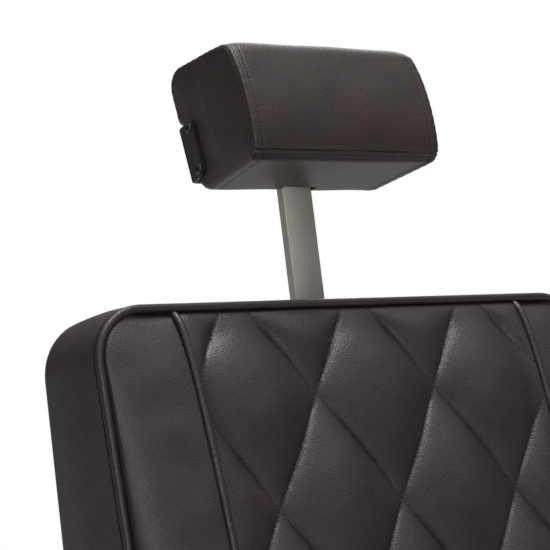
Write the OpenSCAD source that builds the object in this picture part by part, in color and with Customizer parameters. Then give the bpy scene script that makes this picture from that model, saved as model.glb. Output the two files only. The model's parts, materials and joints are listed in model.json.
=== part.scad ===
// Threading chair: hydraulic swivel base, quilted seat, reclining quilted back and an
// adjustable headrest on a flat bar. Millimetres, +Z up, the sitter faces -Y, and the
// origin is at floor level under the pump's axis.

/* [Base] */
// Diameter of the round base plate
base_d = 600; // [540:10:680]
// Thickness of the base plate
base_plate_h = 8; // [6:1:12]
// Thickness of the rubber pad under the base
floor_pad_h = 3; // [2:0.5:5]
// Distance from the pad's edge to the base plate's edge
floor_pad_inset = 5; // [2:1:20]
// Height of the dished cover over its rim
cover_rise = 46; // [34:1:60]
// Wall of the dished cover
cover_wall = 1.5; // [1:0.25:2.5]

/* [Pump] */
// Outside diameter of the pump housing
pump_d = 76; // [72:1:90]
// Wall of the pump housing
pump_wall = 6; // [4:0.5:6]
// Height of the housing above its flange
pump_h = 224; // [200:2:240]
// Diameter of the flange that bolts the pump to the base
flange_d = 170; // [150:2:190]
// Thickness of that flange
flange_h = 10; // [8:1:14]
// Diameter of the piston rod
rod_d = 50; // [46:1:52]
// Diameter of the rod's spigot that the seat turns on
spigot_d = 36; // [30:1:40]
// Height of the gland at the top of the housing
gland_h = 14; // [10:1:18]
// Lift of the seat from its lowest to its highest place
lift_stroke = 150; // [100:5:150]

/* [Pedal] */
// Reach of the pedal from its pin to its tip
pedal_reach = 240; // [200:5:250]
// Width of the pedal's steel arm
pedal_w = 24; // [20:1:30]
// Thickness of the pedal's steel arm
pedal_t = 8; // [6:1:10]
// Length of the rubber pad on the pedal
pedal_pad_len = 72; // [50:2:90]
// Width of the rubber pad on the pedal
pedal_pad_w = 62; // [44:2:80]

/* [Seat frame] */
// Side of the square tubes of the seat frame
rail_w = 30; // [28:1:40]
// Wall of the square tubes
rail_wall = 2.5; // [1.5:0.5:3]
// Distance from the middle of the chair to the middle of a side rail
rail_x = 250; // [240:1:256]
// Side of the square plate on the swivel hub
hub_plate_w = 220; // [200:5:240]
// Thickness of that plate
hub_plate_t = 8; // [6:1:12]

/* [Seat] */
// Half of the width between the outer pipings of the seat and of the back
half_w = 290; // [285:1:294]
// Depth of the seat between its front and rear pipings
seat_len = 470; // [440:5:480]
// Distance from the pump's axis to the seat's rear piping
seat_rear_y = 150; // [140:1:170]
// Thickness of the seat's plywood board
seat_board_t = 15; // [12:1:18]
// Height of the seat's side band, from the board to the piping
seat_side_h = 99; // [80:1:110]

/* [Back] */
// Length of the back's front between its top and bottom pipings
back_len = 570; // [520:5:620]
// Thickness of the back at its top
back_thick = 94; // [90:1:110]
// Recline of the back's rear face from upright, at rest
back_tilt = 11.6; // [9:0.1:14]
// Angle between the back's front and rear faces
back_wedge = 4.6; // [3:0.1:6]
// Radius of the outer piping at the back's top corners
corner_r = 50; // [45:1:70]
// Half of the width of the quilted panel, to the inner pipings
inner_x = 204.8; // [195:0.1:215]
// Diameter of the piping cord
piping_d = 8; // [6:0.5:9]
// Width of one quilted diamond
diamond_w = 141; // [120:1:160]
// Height of one quilted diamond
diamond_h = 210; // [180:2:240]

/* [Headrest bar] */
// Width of the flat bar
bar_w = 35; // [30:1:40]
// Thickness of the flat bar
bar_t = 10; // [8:0.5:12]
// Length of the flat bar from its lower end to its hinge
bar_len = 373; // [340:1:390]
// Height of the headrest's hinge above the back's top piping, at rest
bar_out = 165; // [150:1:180]

/* [Headrest] */
// Half of the headrest's width at its front
head_half_w = 112.2; // [104:0.1:120]
// Height of the headrest's front
head_h = 110; // [104:1:116]
// Depth of the headrest
head_depth = 117; // [112:1:122]
// How much taller the headrest is at its rear than at its front
head_flare = 24; // [16:1:30]
// How far the headrest's front lower edge hangs below its rear one
head_drop = 9.5; // [6:0.5:12]
// Tilt of the headrest against its bar, at rest
head_tilt = 12.1; // [10:0.1:14]
// Height of the black bracket behind the headrest
bracket_h = 57; // [54:1:62]

/* [Arms] */
// Distance from the middle of the chair to the middle of an arm
arm_x = 335; // [330:1:350]
// Diameter of the arm's tube
arm_tube_d = 25; // [20:1:28]
// Height of the arm's top tube above the rail's middle
arm_rise = 332; // [300:2:345]
// Length of the arm pad
arm_pad_len = 380; // [340:5:400]
// How far the arm pad reaches past the tube's front and rear legs
arm_pad_reach = 40; // [36:1:60]
// Width of the arm pad
arm_pad_w = 62; // [52:1:66]
// Height of the arm pad's cushion
arm_pad_h = 34; // [26:1:40]

/* [Footrest] */
// Distance from the middle of the chair to a footrest tube
foot_x = 150; // [120:5:170]
// Diameter of the footrest tubes
foot_tube_d = 22; // [18:1:25]
// How far the footrest hangs under the rail's middle
foot_drop = 101; // [80:1:110]
// Depth of the foot plate
foot_plate_len = 120; // [90:5:125]

/* [Hidden] */
$fn = 48;

// Colours
vinyl = "#3a302e";
cord_colour = "#2b2827";
steel = "#8d8a85";
black_steel = "#1c1c1c";
chrome = "#c4c6c8";
rubber = "#222222";
plywood = "#c9a878";

// Clearances and cuts
over = 2;
run_gap = 0.05;
tight_gap = 0.02;
soft_gap = 0.3;
bolt_gap = 0.3;

// Fasteners
m10_d = 10;
m10_head_w = 17;
m10_head_h = 6.4;
m6_d = 6;
m6_head_d = 10.5;
m6_head_h = 3;
thread_out = 2;

// Heights of the base and the pump
plate_top = floor_pad_h + base_plate_h;
flange_top = plate_top + flange_h;
housing_top = flange_top + pump_h;
gland_top = housing_top + gland_h;
gland_lip = 2;
pump_r = pump_d / 2;
bore_r = pump_r - pump_wall;
bore_floor = 6;
rod_show = 3;
shoulder_z = gland_top + rod_show;
washer_h = 2;
washer_r = 30;
piston_head_h = 20;
stroke_margin = 36;
piston_head_lift = pump_h - lift_stroke - piston_head_h - stroke_margin;
piston_head_z = flange_top + piston_head_lift;
cover_gap = 0.3;
cover_lift = 1;
cover_rim_h = 0.3;
cover_neck = 0.3;
cover_steps = 16;
cover_curve_share = 1.6;
flange_bolt_inset = 15;
flange_pcd = flange_d - 2 * flange_bolt_inset;
hub_r = 36;
hub_h = 34;
hub_z = shoulder_z + washer_h + run_gap;
hub_plate_z = hub_z + hub_h;
hub_corner = 14;

// Pedal
pedal_z = 80;
pedal_pin_out = 20;
pedal_pin_y = pump_r + pedal_pin_out;
pedal_pin_d = 10;
pedal_boss_r = 12;
pedal_ear_t = 6;
pedal_ear_h = 30;
pedal_ear_out = 12;
pedal_pin_over = 3;
pedal_pad_t = 16;
pedal_pad_corner = 10;
pedal_tip = 6;

// Seat frame
rail_z = hub_plate_z + hub_plate_t;
rail_mid_z = rail_z + rail_w / 2;
rail_in = rail_x - rail_w / 2;
rail_out = rail_x + rail_w / 2;
seat_front_y = seat_rear_y - seat_len;
rail_front_inset = 32;
rail_front_y = seat_front_y + rail_front_inset;
hub_member_y = 60;
hub_bolt_x = 88;
rear_member_inset = 30;
member_ys = [rail_front_y, -hub_member_y - rail_w / 2, hub_member_y - rail_w / 2,
    seat_rear_y - rear_member_inset];
cap_t = 4;
cap_plug = 14;
board_z = rail_z + rail_w;
seat_core_z = board_z + seat_board_t;
seat_plane_z = seat_core_z + seat_side_h;
board_inset = 14;
board_screw_x = 150;
board_cover = 4;

// Upholstery shared by the seat and the back
cord_r = piping_d / 2;
shell_out = cord_r;
pad_back = cord_r;
edge_soft = 30;
edge_crown = 14.5;
back_bulge = 21;
seat_bulge = 12;
bulge_share = 1.15;
quilt_sink = 9;
quilt_puff = 14;
quilt_edge = 26;
first_row_share = 0.414;
quilt_cells = 10;
seat_corner_r = 40;
rear_corner_r = 22;
rear_round = 12;
band_columns = 5;
band_rows = 15;
cord_rings = 22;
cord_sides = 6;

// Hinge of the back
shaft_r = 8;
washer_t = 1.5;
friction_washer_r = 18;
eye_r = 18;
eye_w = rail_w - 2 * washer_t - 4 * run_gap;
eye_shoulder = 0.4;
upright_w = eye_w - 2 * eye_shoulder;
upright_t = 8;
bracket_t = 6;
bracket_r = 22;
bracket_foot = 98;
bracket_low = 2;
nut_t = 8;
nut_w = 26;

// Back, in its own upright frame with the hinge axis at zero
panel_t = 6;
back_board_t = 12;
rear_y = upright_t / 2 + back_board_t + panel_t;
rim_back = 2;
back_lift = 40;
top_front_y = rear_y - back_thick;
top_z = back_lift + back_len * cos(back_wedge);
bottom_front_y = top_front_y - back_len * sin(back_wedge);
back_overlap = 12;
back_gap = 18;
pivot_y = seat_rear_y - back_overlap - bottom_front_y * cos(back_tilt) - back_lift * sin(back_tilt);
pivot_z = seat_plane_z + back_gap + bottom_front_y * sin(back_tilt) - back_lift * cos(back_tilt);
rail_rear_y = pivot_y + bracket_r + cap_t;
core_top_z = top_z + 3 * cord_r / 4;
core_low_z = back_lift - cord_r;
board_rim = 13.5;
board_rim_z = 8;
board_half_w = half_w + shell_out - board_rim;
board_low_z = core_low_z + board_rim_z;
board_top_z = core_top_z - board_rim_z;
upright_drop = 128;
upright_top_z = top_z - upright_drop;
cross_bar_h = 26;
cross_low_up = 60;
cross_top_up = 218;
cross_low_z = back_lift + cross_low_up;
cross_top_z = back_lift + cross_top_up;

// Bar, its sleeve and the clamp
bar_behind = 21;
bar_rear_y = rear_y - bar_behind;
bar_mid_y = bar_rear_y - bar_t / 2;
bar_hinge_z = top_z + bar_out;
bar_low_z = bar_hinge_z - bar_len;
knuckle_r = 9;
bar_gap = 0.08;
sleeve_wall = 3;
sleeve_len = 280;
collar_t = 2.5;
collar_w = 62;
collar_front = 8;
collar_rear = 8;
sleeve_top_z = core_top_z - collar_t;
lift_room = 96;
clamp_down = 50;
clamp_z = top_z - clamp_down;
clamp_d = 8;
clamp_tip_gap = 0.5;
clamp_boss_r = 9;
clamp_boss_h = 8;
knob_gap = 1;
knob_r = 21;
knob_h = 18;
knob_lobes = 6;
knob_notch_r = 7;
knob_bury = 12;

// Headrest, in its own frame with its front lower edge at zero
hinge_y = 83;
hinge_z = 40.7;
hinge_pin_d = 8;
ear_t = 4;
ear_gap = 0.4;
ear_half_h = 9;
pin_over = 1.2;
pocket_gap = 1;
pocket_front = 11;
pocket_top = 14;
neck_h = 14;
neck_front = 1;
neck_gap = 2;
head_board_t = 18;
head_board_half_w = 92;
head_board_low = 12;
head_board_top = 22;
bracket_t_head = 3;
bracket_low_z = 14;
bracket_in = 9;
bracket_notch_h = 16;
flange_len = 25;
flange_far_r = 2;
flange_near_r = 6;
ear_bury = 1;
head_taper = 12.6;
head_screw_y = 15;
head_screw_in = 7;
head_screw_len = 22;
head_board_behind = 7;
head_forward = 5;
head_crown = 12;
crown_reach_share = 1.18;
crown_low_power = 0.9;
crown_round_power = 0.7;
crown_end_power = 6;
crown_end_share = 0.1;
head_end_power = 40;
head_back_y = head_depth - bracket_in;
head_back_half = head_half_w - head_taper * head_back_y / head_depth + soft_gap;
head_turn_steps = 4;
head_front_shares = [0.2, 0.38, 0.56, 0.74];
head_station_shares = [-1, -0.985, -0.95, -0.7, -0.35, 0, 0.35, 0.7, 0.95, 0.985, 1];
head_end_soft = 4.5;
head_front_r = 10;
head_top_r = 16;
head_rear_r = 20;
head_heel_r = 24;
head_step_gap = 2;
head_step_h = 6;
head_step_r = 3;
taper_angle = atan(head_taper / head_depth);
head_step_z = bracket_low_z + bracket_h + head_step_gap;
head_ear_x = bar_w / 2 + ear_gap;
head_screw_zs = [bracket_low_z + head_screw_in, bracket_low_z + bracket_h - head_screw_in];

// Arms
arm_low_bend = 40;
arm_top_bend = 50;
arm_tube_wall = 2;
arm_flange_w = 64;
arm_flange_h = 28;
arm_flange_t = 5;
arm_bolt_y = 24;
arm_span = arm_pad_len - 2 * arm_pad_reach;
arm_rear_y = 85;
arm_front_y = arm_rear_y - arm_span;
arm_mid_y = (arm_rear_y + arm_front_y) / 2;
arm_top_z = rail_mid_z + arm_rise;
arm_board_t = 10;
arm_board_w = 50;
arm_board_inset = 10;
arm_board_len = arm_pad_len - 2 * arm_board_inset;
arm_pad_corner = 22;
arm_crown = 9;
arm_pad_columns = 4;
arm_pad_rows = 14;

// Footrest
foot_bend = 40;
foot_tube_wall = 2;
foot_run = 40;
foot_y = rail_front_y - foot_run - foot_bend;
foot_z = rail_mid_z - foot_drop;
foot_shaft_r = 6;
foot_side_gap = 4;
foot_plate_w = 2 * (foot_x - foot_tube_d / 2 - foot_side_gap);
foot_plate_t = 5;
foot_boss_r = 13;
foot_eye_r = 11;
foot_eye_gap = 0.6;
foot_eye_w = 24;
foot_mat_t = 4;
foot_mat_inset = 10;
foot_corner = 16;
foot_flange_w = 50;
foot_flange_t = 5;
foot_bolt_x = 18;

// Lever
lever_x = 308;
lever_hub_r = 16;
lever_hub_w = 16;
lever_t = 8;
lever_w = 16;
lever_len = 118;
lever_angle = 10;
grip_r = 12;
grip_len = 58;
grip_wall = 2;

// Small helpers
module tube(outer_r, inner_r, h) {
    difference() {
        cylinder(r = outer_r, h = h);
        translate([0, 0, -over]) cylinder(r = inner_r, h = h + 2 * over);
    }
}

module along_x(x0, x1) {
    translate([x0, 0, 0]) rotate([0, 90, 0]) linear_extrude(x1 - x0) children();
}

module both_sides() {
    children();
    mirror([1, 0, 0]) children();
}

module rounded_plate(w, d, h, r) {
    linear_extrude(h) rounded_outline(w, d, r, r);
}

// Outline with one radius at its +Y corners and another at its -Y corners
module rounded_outline(w, d, r_far, r_near) {
    union() {
        for (side = [-1, 1]) {
            translate([side * (w / 2 - r_far), d / 2 - r_far]) circle(r = r_far);
            translate([side * (w / 2 - r_near), -d / 2 + r_near]) circle(r = r_near);
        }
        translate([-w / 2 + r_far, 0]) square([w - 2 * r_far, d / 2]);
        translate([-w / 2 + r_near, -d / 2]) square([w - 2 * r_near, d / 2]);
        translate([-w / 2, -d / 2 + r_near]) square([w, d - r_near - r_far]);
    }
}

module hex_bolt(d, head_w, head_h, length) {
    cylinder(r = d / 2, h = length);
    translate([0, 0, -head_h]) cylinder(r = head_w / 2 / cos(30), h = head_h, $fn = 6);
}

module quarter_bend(bend_r, r) {
    rotate_extrude(angle = 90) translate([bend_r, 0]) circle(r = r);
}

// Frames of the back, of its front face, of the seat's top face and of the headrest
module in_back() {
    translate([0, pivot_y, pivot_z]) rotate([-back_tilt, 0, 0]) children();
}

module on_back_face() {
    in_back() translate([0, top_front_y, top_z]) rotate([-back_wedge, 0, 0]) children();
}

module on_seat_face() {
    translate([0, seat_rear_y, seat_plane_z]) rotate([-90, 0, 0]) children();
}

module in_head() {
    in_back() translate([0, bar_mid_y, bar_hinge_z]) rotate([-head_tilt, 0, 0])
        translate([0, -hinge_y, -hinge_z]) children();
}

// Height of a padded face over its piping plane, at a distance down the face
function face_rise(down, length, bulge) =
    edge_crown * (1 - exp(-down / edge_soft)) * (1 - exp(-(length - down) / edge_soft))
    + bulge * sin(180 * pow(down / length, bulge_share));

function lattice_u(x) = x / diamond_w;
function lattice_v(down) = down / diamond_h - first_row_share;
function line_gap(a) = abs(sin(180 * a));
function puff_share(x, down) = pow(line_gap(lattice_u(x) + lattice_v(down) + 0.5)
    * line_gap(lattice_u(x) - lattice_v(down) + 0.5), 0.45);
function edge_share(x, down, half, length) =
    min(1, max(0, min(half - abs(x), down - cord_r, length - cord_r - down) / quilt_edge));

function quilt_rise(x, down, half, length, bulge) =
    face_rise(down, length, bulge)
    + edge_share(x, down, half, length) * (quilt_puff * puff_share(x, down) - quilt_sink);

function band_rise(x, down, x0, x1, length, bulge) =
    face_rise(down, length, bulge) * sqrt(max(0, 1 - pow((x - x0) / (x1 - x0), 2.4)));

// Closed pad over a rectangular grid; top(x, down) gives its height, low its flat rear
module pad(xs, downs, top, low) {
    nx = len(xs);
    nd = len(downs);
    upper = [for (x = xs) for (d = downs) [x, -top(x, d), -d]];
    rim = concat([for (j = [0:nd - 1]) [0, j]], [for (i = [1:nx - 1]) [i, nd - 1]],
        [for (j = [nd - 2:-1:0]) [nx - 1, j]], [for (i = [nx - 2:-1:1]) [i, 0]]);
    count = len(rim);
    lower = [for (r = rim) [xs[r[0]], low, -downs[r[1]]]];
    middle = [(xs[0] + xs[nx - 1]) / 2, low, -(downs[0] + downs[nd - 1]) / 2];
    first = nx * nd;
    centre = first + count;
    function at(i, j) = i * nd + j;
    function anti(i, j) = let (u = lattice_u((xs[i] + xs[i + 1]) / 2),
        v = lattice_v((downs[j] + downs[j + 1]) / 2))
        line_gap(u + v + 0.5) < line_gap(u - v + 0.5);
    faces = concat(
        [for (i = [0:nx - 2]) for (j = [0:nd - 2]) each (anti(i, j)
            ? [[at(i, j), at(i + 1, j), at(i, j + 1)], [at(i + 1, j), at(i + 1, j + 1), at(i, j + 1)]]
            : [[at(i, j), at(i + 1, j), at(i + 1, j + 1)], [at(i, j), at(i + 1, j + 1), at(i, j + 1)]])],
        [for (k = [0:count - 1]) let (n = (k + 1) % count,
            a = at(rim[k][0], rim[k][1]), b = at(rim[n][0], rim[n][1])) each
            [[a, b, first + n], [a, first + n, first + k]]],
        [for (k = [0:count - 1]) let (n = (k + 1) % count) [centre, first + k, first + n]]);
    polyhedron(points = concat(upper, lower, [middle]), faces = faces);
}

module quilted_panel(length, bulge) {
    half = inner_x - cord_r - soft_gap;
    step = diamond_w / quilt_cells;
    columns = floor((half - step / 4) / step);
    row = diamond_h / quilt_cells;
    start = first_row_share * diamond_h;
    end = length - cord_r - soft_gap;
    xs = concat([-half], [for (i = [-columns:columns]) i * step], [half]);
    downs = concat([cord_r + soft_gap],
        [for (d = [start - row * floor(start / row):row:end])
            if (d > cord_r + row / 2 && d < end - row / 4) d],
        [end]);
    pad(xs, downs, function (x, d) quilt_rise(x, d, half, length, bulge), pad_back);
}

module side_band(length, bulge, r_top, r_low) {
    x0 = inner_x + cord_r + soft_gap;
    x1 = half_w - cord_r - soft_gap;
    start = cord_r + soft_gap;
    end = length - cord_r - soft_gap;
    xs = [for (i = [0:band_columns]) x0 + (x1 - x0) * sin(90 * i / band_columns)];
    downs = [for (j = [0:band_rows]) start + (end - start) * (1 - cos(180 * j / band_rows)) / 2];
    intersection() {
        pad(xs, downs, function (x, d) band_rise(x, d, inner_x, half_w, length, bulge), pad_back);
        rotate([90, 0, 0]) translate([0, 0, -half_w]) linear_extrude(2 * half_w)
            translate([0, -length / 2])
            rounded_outline(2 * x1, end - start, r_top - cord_r, r_low - cord_r);
    }
}

// Cord swept up one side of the quilted panel, over the crown
module inner_cord(length, bulge) {
    start = cord_r + soft_gap;
    end = length - cord_r - soft_gap;
    function down_at(k) = start + (end - start) * (1 - cos(180 * k / cord_rings)) / 2;
    function height_at(k) = face_rise(down_at(k), length, bulge);
    function slope_at(k) = atan2(height_at(min(k + 1, cord_rings)) - height_at(max(k - 1, 0)),
        down_at(min(k + 1, cord_rings)) - down_at(max(k - 1, 0)));
    points = [for (k = [0:cord_rings]) for (s = [0:cord_sides - 1])
        let (a = 360 * s / cord_sides, out = (cord_r - tight_gap) * sin(a), tilt = slope_at(k))
        [inner_x + (cord_r - tight_gap) * cos(a), -height_at(k) - out * cos(tilt),
            -down_at(k) + out * sin(tilt)]];
    last = cord_rings * cord_sides;
    faces = concat([[for (s = [0:cord_sides - 1]) s]],
        [[for (s = [cord_sides - 1:-1:0]) last + s]],
        [for (k = [0:cord_rings - 1]) for (s = [0:cord_sides - 1]) let (n = (s + 1) % cord_sides,
            a = k * cord_sides) each [[a + s, a + cord_sides + s, a + n],
            [a + n, a + cord_sides + s, a + cord_sides + n]]]);
    polyhedron(points = points, faces = faces);
}

// Closed loop of cord round the face
module outer_cord(length, r_top, r_low) {
    for (side = [-1, 1]) {
        translate([side * half_w, 0, -length + r_low]) cylinder(r = cord_r, h = length - r_low - r_top);
        translate([side * (half_w - r_top), 0, -r_top]) rotate([90, side > 0 ? 0 : -90, 0])
            quarter_bend(r_top, cord_r);
        translate([side * (half_w - r_low), 0, -length + r_low]) rotate([90, side > 0 ? 90 : 180, 0])
            quarter_bend(r_low, cord_r);
    }
    along_x(-half_w + r_top, half_w - r_top) circle(r = cord_r);
    translate([0, 0, -length]) along_x(-half_w + r_low, half_w - r_low) circle(r = cord_r);
}

// Base
module floor_pad() {
    color(rubber) cylinder(r = base_d / 2 - floor_pad_inset, h = floor_pad_h, $fn = 96);
}

module base_plate() {
    color(black_steel) translate([0, 0, floor_pad_h]) difference() {
        cylinder(r = base_d / 2, h = base_plate_h, $fn = 96);
        for (a = [45:90:315]) rotate(a) translate([flange_pcd / 2, 0, -over])
            cylinder(r = m10_d / 2 + tight_gap, h = base_plate_h + 2 * over);
    }
}

module base_cover() {
    r_in = pump_r + cover_neck;
    r_out = base_d / 2 + cover_gap;
    rise = function (k) plate_top + cover_rim_h + cover_wall
        + cover_rise * pow(1 - k / cover_steps, cover_curve_share);
    span = function (k) r_in + (r_out - r_in) * k / cover_steps;
    color(chrome) rotate_extrude($fn = 96) polygon(concat(
        [for (k = [0:cover_steps]) [span(k), rise(k)]],
        [[r_out + cover_wall, plate_top + cover_rim_h], [r_out + cover_wall, floor_pad_h + cover_lift],
            [r_out, floor_pad_h + cover_lift]],
        [for (k = [cover_steps:-1:0]) [span(k), rise(k) - cover_wall]]));
}

module pump_housing() {
    color(chrome) translate([0, 0, plate_top]) difference() {
        union() {
            cylinder(r = flange_d / 2, h = flange_h);
            cylinder(r = pump_r, h = flange_h + pump_h);
        }
        translate([0, 0, bore_floor]) cylinder(r = bore_r, h = flange_h + pump_h);
        for (a = [45:90:315]) rotate(a) translate([flange_pcd / 2, 0, -over])
            cylinder(r = m10_d / 2 + bolt_gap, h = flange_h + 2 * over);
    }
}

module pump_gland() {
    color(black_steel) translate([0, 0, housing_top])
        tube(pump_r + gland_lip, rod_d / 2 + run_gap, gland_h);
}

module pump_bolts() {
    color(steel) for (a = [45:90:315]) rotate(a) translate([flange_pcd / 2, 0, flange_top])
        mirror([0, 0, 1]) hex_bolt(m10_d, m10_head_w, m10_head_h, flange_h + base_plate_h);
}

// Pedal
module pedal_bracket() {
    ear_x = pedal_w / 2 + run_gap;
    color(black_steel) both_sides() difference() {
        translate([ear_x, 0, pedal_z - pedal_ear_h / 2])
            cube([pedal_ear_t, pedal_pin_y + pedal_ear_out, pedal_ear_h]);
        cylinder(r = pump_r + tight_gap, h = housing_top);
        translate([0, pedal_pin_y, pedal_z]) along_x(ear_x - over, ear_x + pedal_ear_t + over)
            circle(r = pedal_pin_d / 2 + tight_gap);
    }
}

module pedal_pin() {
    half = pedal_w / 2 + run_gap + pedal_ear_t + pedal_pin_over;
    color(steel) translate([0, pedal_pin_y, pedal_z]) along_x(-half, half) circle(r = pedal_pin_d / 2);
}

module pedal_arm() {
    color(steel) translate([0, pedal_pin_y, pedal_z]) difference() {
        union() {
            along_x(-pedal_w / 2, pedal_w / 2) circle(r = pedal_boss_r);
            translate([-pedal_w / 2, 0, -pedal_t / 2]) cube([pedal_w, pedal_reach - pedal_tip, pedal_t]);
        }
        along_x(-pedal_w, pedal_w) circle(r = pedal_pin_d / 2 + run_gap);
    }
}

module pedal_pad() {
    color(rubber) translate([0, pedal_pin_y + pedal_reach, pedal_z]) difference() {
        translate([0, -pedal_pad_len / 2, -pedal_pad_t / 2])
            rounded_plate(pedal_pad_w, pedal_pad_len, pedal_pad_t, pedal_pad_corner);
        translate([-pedal_w / 2, -pedal_pad_len - pedal_tip, -pedal_t / 2])
            cube([pedal_w, pedal_pad_len, pedal_t]);
    }
}

// Piston
module piston_head() {
    color(black_steel) translate([0, 0, piston_head_z]) cylinder(r = bore_r - run_gap, h = piston_head_h);
}

module piston_rod() {
    start = piston_head_z + piston_head_h;
    color(chrome) union() {
        translate([0, 0, start]) cylinder(r = rod_d / 2, h = shoulder_z - start);
        translate([0, 0, start]) cylinder(r = spigot_d / 2, h = hub_plate_z - run_gap - start);
    }
}

module thrust_washer() {
    color("#b08d57") translate([0, 0, shoulder_z]) tube(washer_r, spigot_d / 2 + tight_gap, washer_h);
}

// Seat frame
module swivel_hub() {
    color(black_steel) difference() {
        union() {
            translate([0, 0, hub_z]) cylinder(r = hub_r, h = hub_h);
            translate([0, 0, hub_plate_z]) rounded_plate(hub_plate_w, hub_plate_w, hub_plate_t, hub_corner);
        }
        translate([0, 0, hub_z - over]) cylinder(r = spigot_d / 2 + run_gap, h = hub_h + over);
        for (x = [-1, 1], y = [-1, 1]) translate([x * hub_bolt_x, y * hub_member_y, hub_plate_z - over])
            cylinder(r = m10_d / 2 + bolt_gap, h = hub_plate_t + 2 * over);
    }
}

module hub_bolts() {
    grip = hub_plate_t + rail_wall;
    color(steel) for (x = [-1, 1], y = [-1, 1])
        translate([x * hub_bolt_x, y * hub_member_y, hub_plate_z]) {
            hex_bolt(m10_d, m10_head_w, m10_head_h, grip + m10_head_h + thread_out);
            translate([0, 0, grip]) cylinder(r = m10_head_w / 2 / cos(30), h = m10_head_h, $fn = 6);
        }
}

module seat_rail(side) {
    color(black_steel) translate([side * rail_x - rail_w / 2, rail_front_y, rail_z]) difference() {
        cube([rail_w, rail_rear_y - rail_front_y, rail_w]);
        translate([rail_wall, -over, rail_wall])
            cube([rail_w - 2 * rail_wall, rail_rear_y - rail_front_y + 2 * over, rail_w - 2 * rail_wall]);
        for (y = [arm_front_y, arm_rear_y], s = [-1, 1])
            translate([rail_w / 2, y + s * arm_bolt_y - rail_front_y, rail_w / 2])
                along_x(-rail_w, rail_w) circle(r = m6_d / 2 + tight_gap);
    }
}

module seat_rail_left() seat_rail(-1);
module seat_rail_right() seat_rail(1);

module rail_caps() {
    plug = rail_w - 2 * rail_wall - 2 * tight_gap;
    color(rubber) for (x = [-rail_x, rail_x]) {
        for (end = [0, 1]) translate([x, end == 0 ? rail_front_y : rail_rear_y, rail_mid_z])
            mirror([0, end, 0]) {
                translate([-rail_w / 2, -cap_t, -rail_w / 2]) cube([rail_w, cap_t, rail_w]);
                translate([-plug / 2, 0, -plug / 2]) cube([plug, cap_plug, plug]);
            }
    }
}

module cross_members() {
    color(black_steel) for (y = member_ys) difference() {
        translate([-rail_in, y, rail_z]) cube([2 * rail_in, rail_w, rail_w]);
        translate([-rail_in - over, y + rail_wall, rail_z + rail_wall])
            cube([2 * (rail_in + over), rail_w - 2 * rail_wall, rail_w]);
        for (x = [-1, 1]) {
            if (abs(y + rail_w / 2) == hub_member_y)
                translate([x * hub_bolt_x, y + rail_w / 2, rail_z - over])
                    cylinder(r = m10_d / 2 + bolt_gap, h = rail_wall + 2 * over);
            if (y == member_ys[0] || y == member_ys[3])
                translate([x * board_screw_x, y + rail_w / 2, rail_z - over])
                    cylinder(r = m6_d / 2 + bolt_gap, h = rail_wall + 2 * over);
        }
        for (x = [-foot_x - foot_bolt_x, -foot_x + foot_bolt_x, foot_x - foot_bolt_x, foot_x + foot_bolt_x])
            if (y == member_ys[0]) translate([x, y - over, rail_mid_z]) rotate([-90, 0, 0])
                cylinder(r = m6_d / 2 + bolt_gap, h = rail_wall + 2 * over);
    }
}

// Button-head screw along +Z under its head, which sits below zero
module m6_screw(length) {
    cylinder(r = m6_d / 2, h = length);
    translate([0, 0, -m6_head_h]) cylinder(r = m6_head_d / 2, h = m6_head_h);
}

module frame_screws() {
    color(steel) {
        for (x = [-1, 1], y = [member_ys[0], member_ys[3]])
            translate([x * board_screw_x, y + rail_w / 2, rail_z])
                m6_screw(rail_w + seat_board_t - board_cover - bolt_gap);
        both_sides() for (y = [arm_front_y, arm_rear_y], s = [-1, 1])
            translate([rail_out + arm_flange_t, y + s * arm_bolt_y, rail_mid_z]) rotate([0, -90, 0])
                m6_screw(arm_flange_t + rail_w + thread_out);
        for (x = [-foot_x, foot_x], s = [-1, 1])
            translate([x + s * foot_bolt_x, rail_front_y - foot_flange_t, rail_mid_z]) rotate([-90, 0, 0])
                m6_screw(foot_flange_t + rail_w - rail_wall);
    }
}

module hinge_brackets() {
    low = rail_z + bracket_low;
    color(black_steel) for (side = [-1, 1], face = [-1, 1])
        translate([side * rail_x + face * (rail_w + bracket_t) / 2, 0, 0]) difference() {
            along_x(-bracket_t / 2, bracket_t / 2) union() {
                polygon([[-low, rail_rear_y - cap_t], [-low, rail_rear_y - cap_t - bracket_foot],
                    [-pivot_z, pivot_y - bracket_r], [-pivot_z, pivot_y + bracket_r]]);
                translate([-pivot_z, pivot_y]) circle(r = bracket_r);
            }
            translate([0, pivot_y, pivot_z]) along_x(-bracket_t, bracket_t)
                circle(r = shaft_r + tight_gap);
        }
}

module recline_shaft() {
    right = rail_out + bracket_t + nut_t + thread_out;
    left = lever_x + lever_hub_w / 2 + nut_t;
    color(steel) translate([0, pivot_y, pivot_z]) along_x(-left, right) circle(r = shaft_r);
}

module shaft_collars() {
    plate_out = rail_out + bracket_t;
    spacer = lever_x - lever_hub_w / 2 - run_gap - plate_out;
    color(black_steel) translate([0, pivot_y, pivot_z]) {
        along_x(plate_out, plate_out + nut_t) nut_outline();
        along_x(-plate_out - spacer, -plate_out) ring_outline(shaft_r + bracket_t);
        along_x(-lever_x - lever_hub_w / 2 - nut_t, -lever_x - lever_hub_w / 2 - run_gap) nut_outline();
    }
}

module nut_outline() {
    difference() {
        circle(r = nut_w / 2 / cos(30), $fn = 6);
        circle(r = shaft_r + tight_gap);
    }
}

module ring_outline(r) {
    difference() {
        circle(r = r);
        circle(r = shaft_r + tight_gap);
    }
}

module friction_washers() {
    color("#b08d57") for (side = [-1, 1], face = [-1, 1])
        translate([side * rail_x + face * (rail_w - washer_t - 2 * run_gap) / 2, pivot_y, pivot_z])
            along_x(-washer_t / 2, washer_t / 2) ring_outline(friction_washer_r);
}

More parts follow.
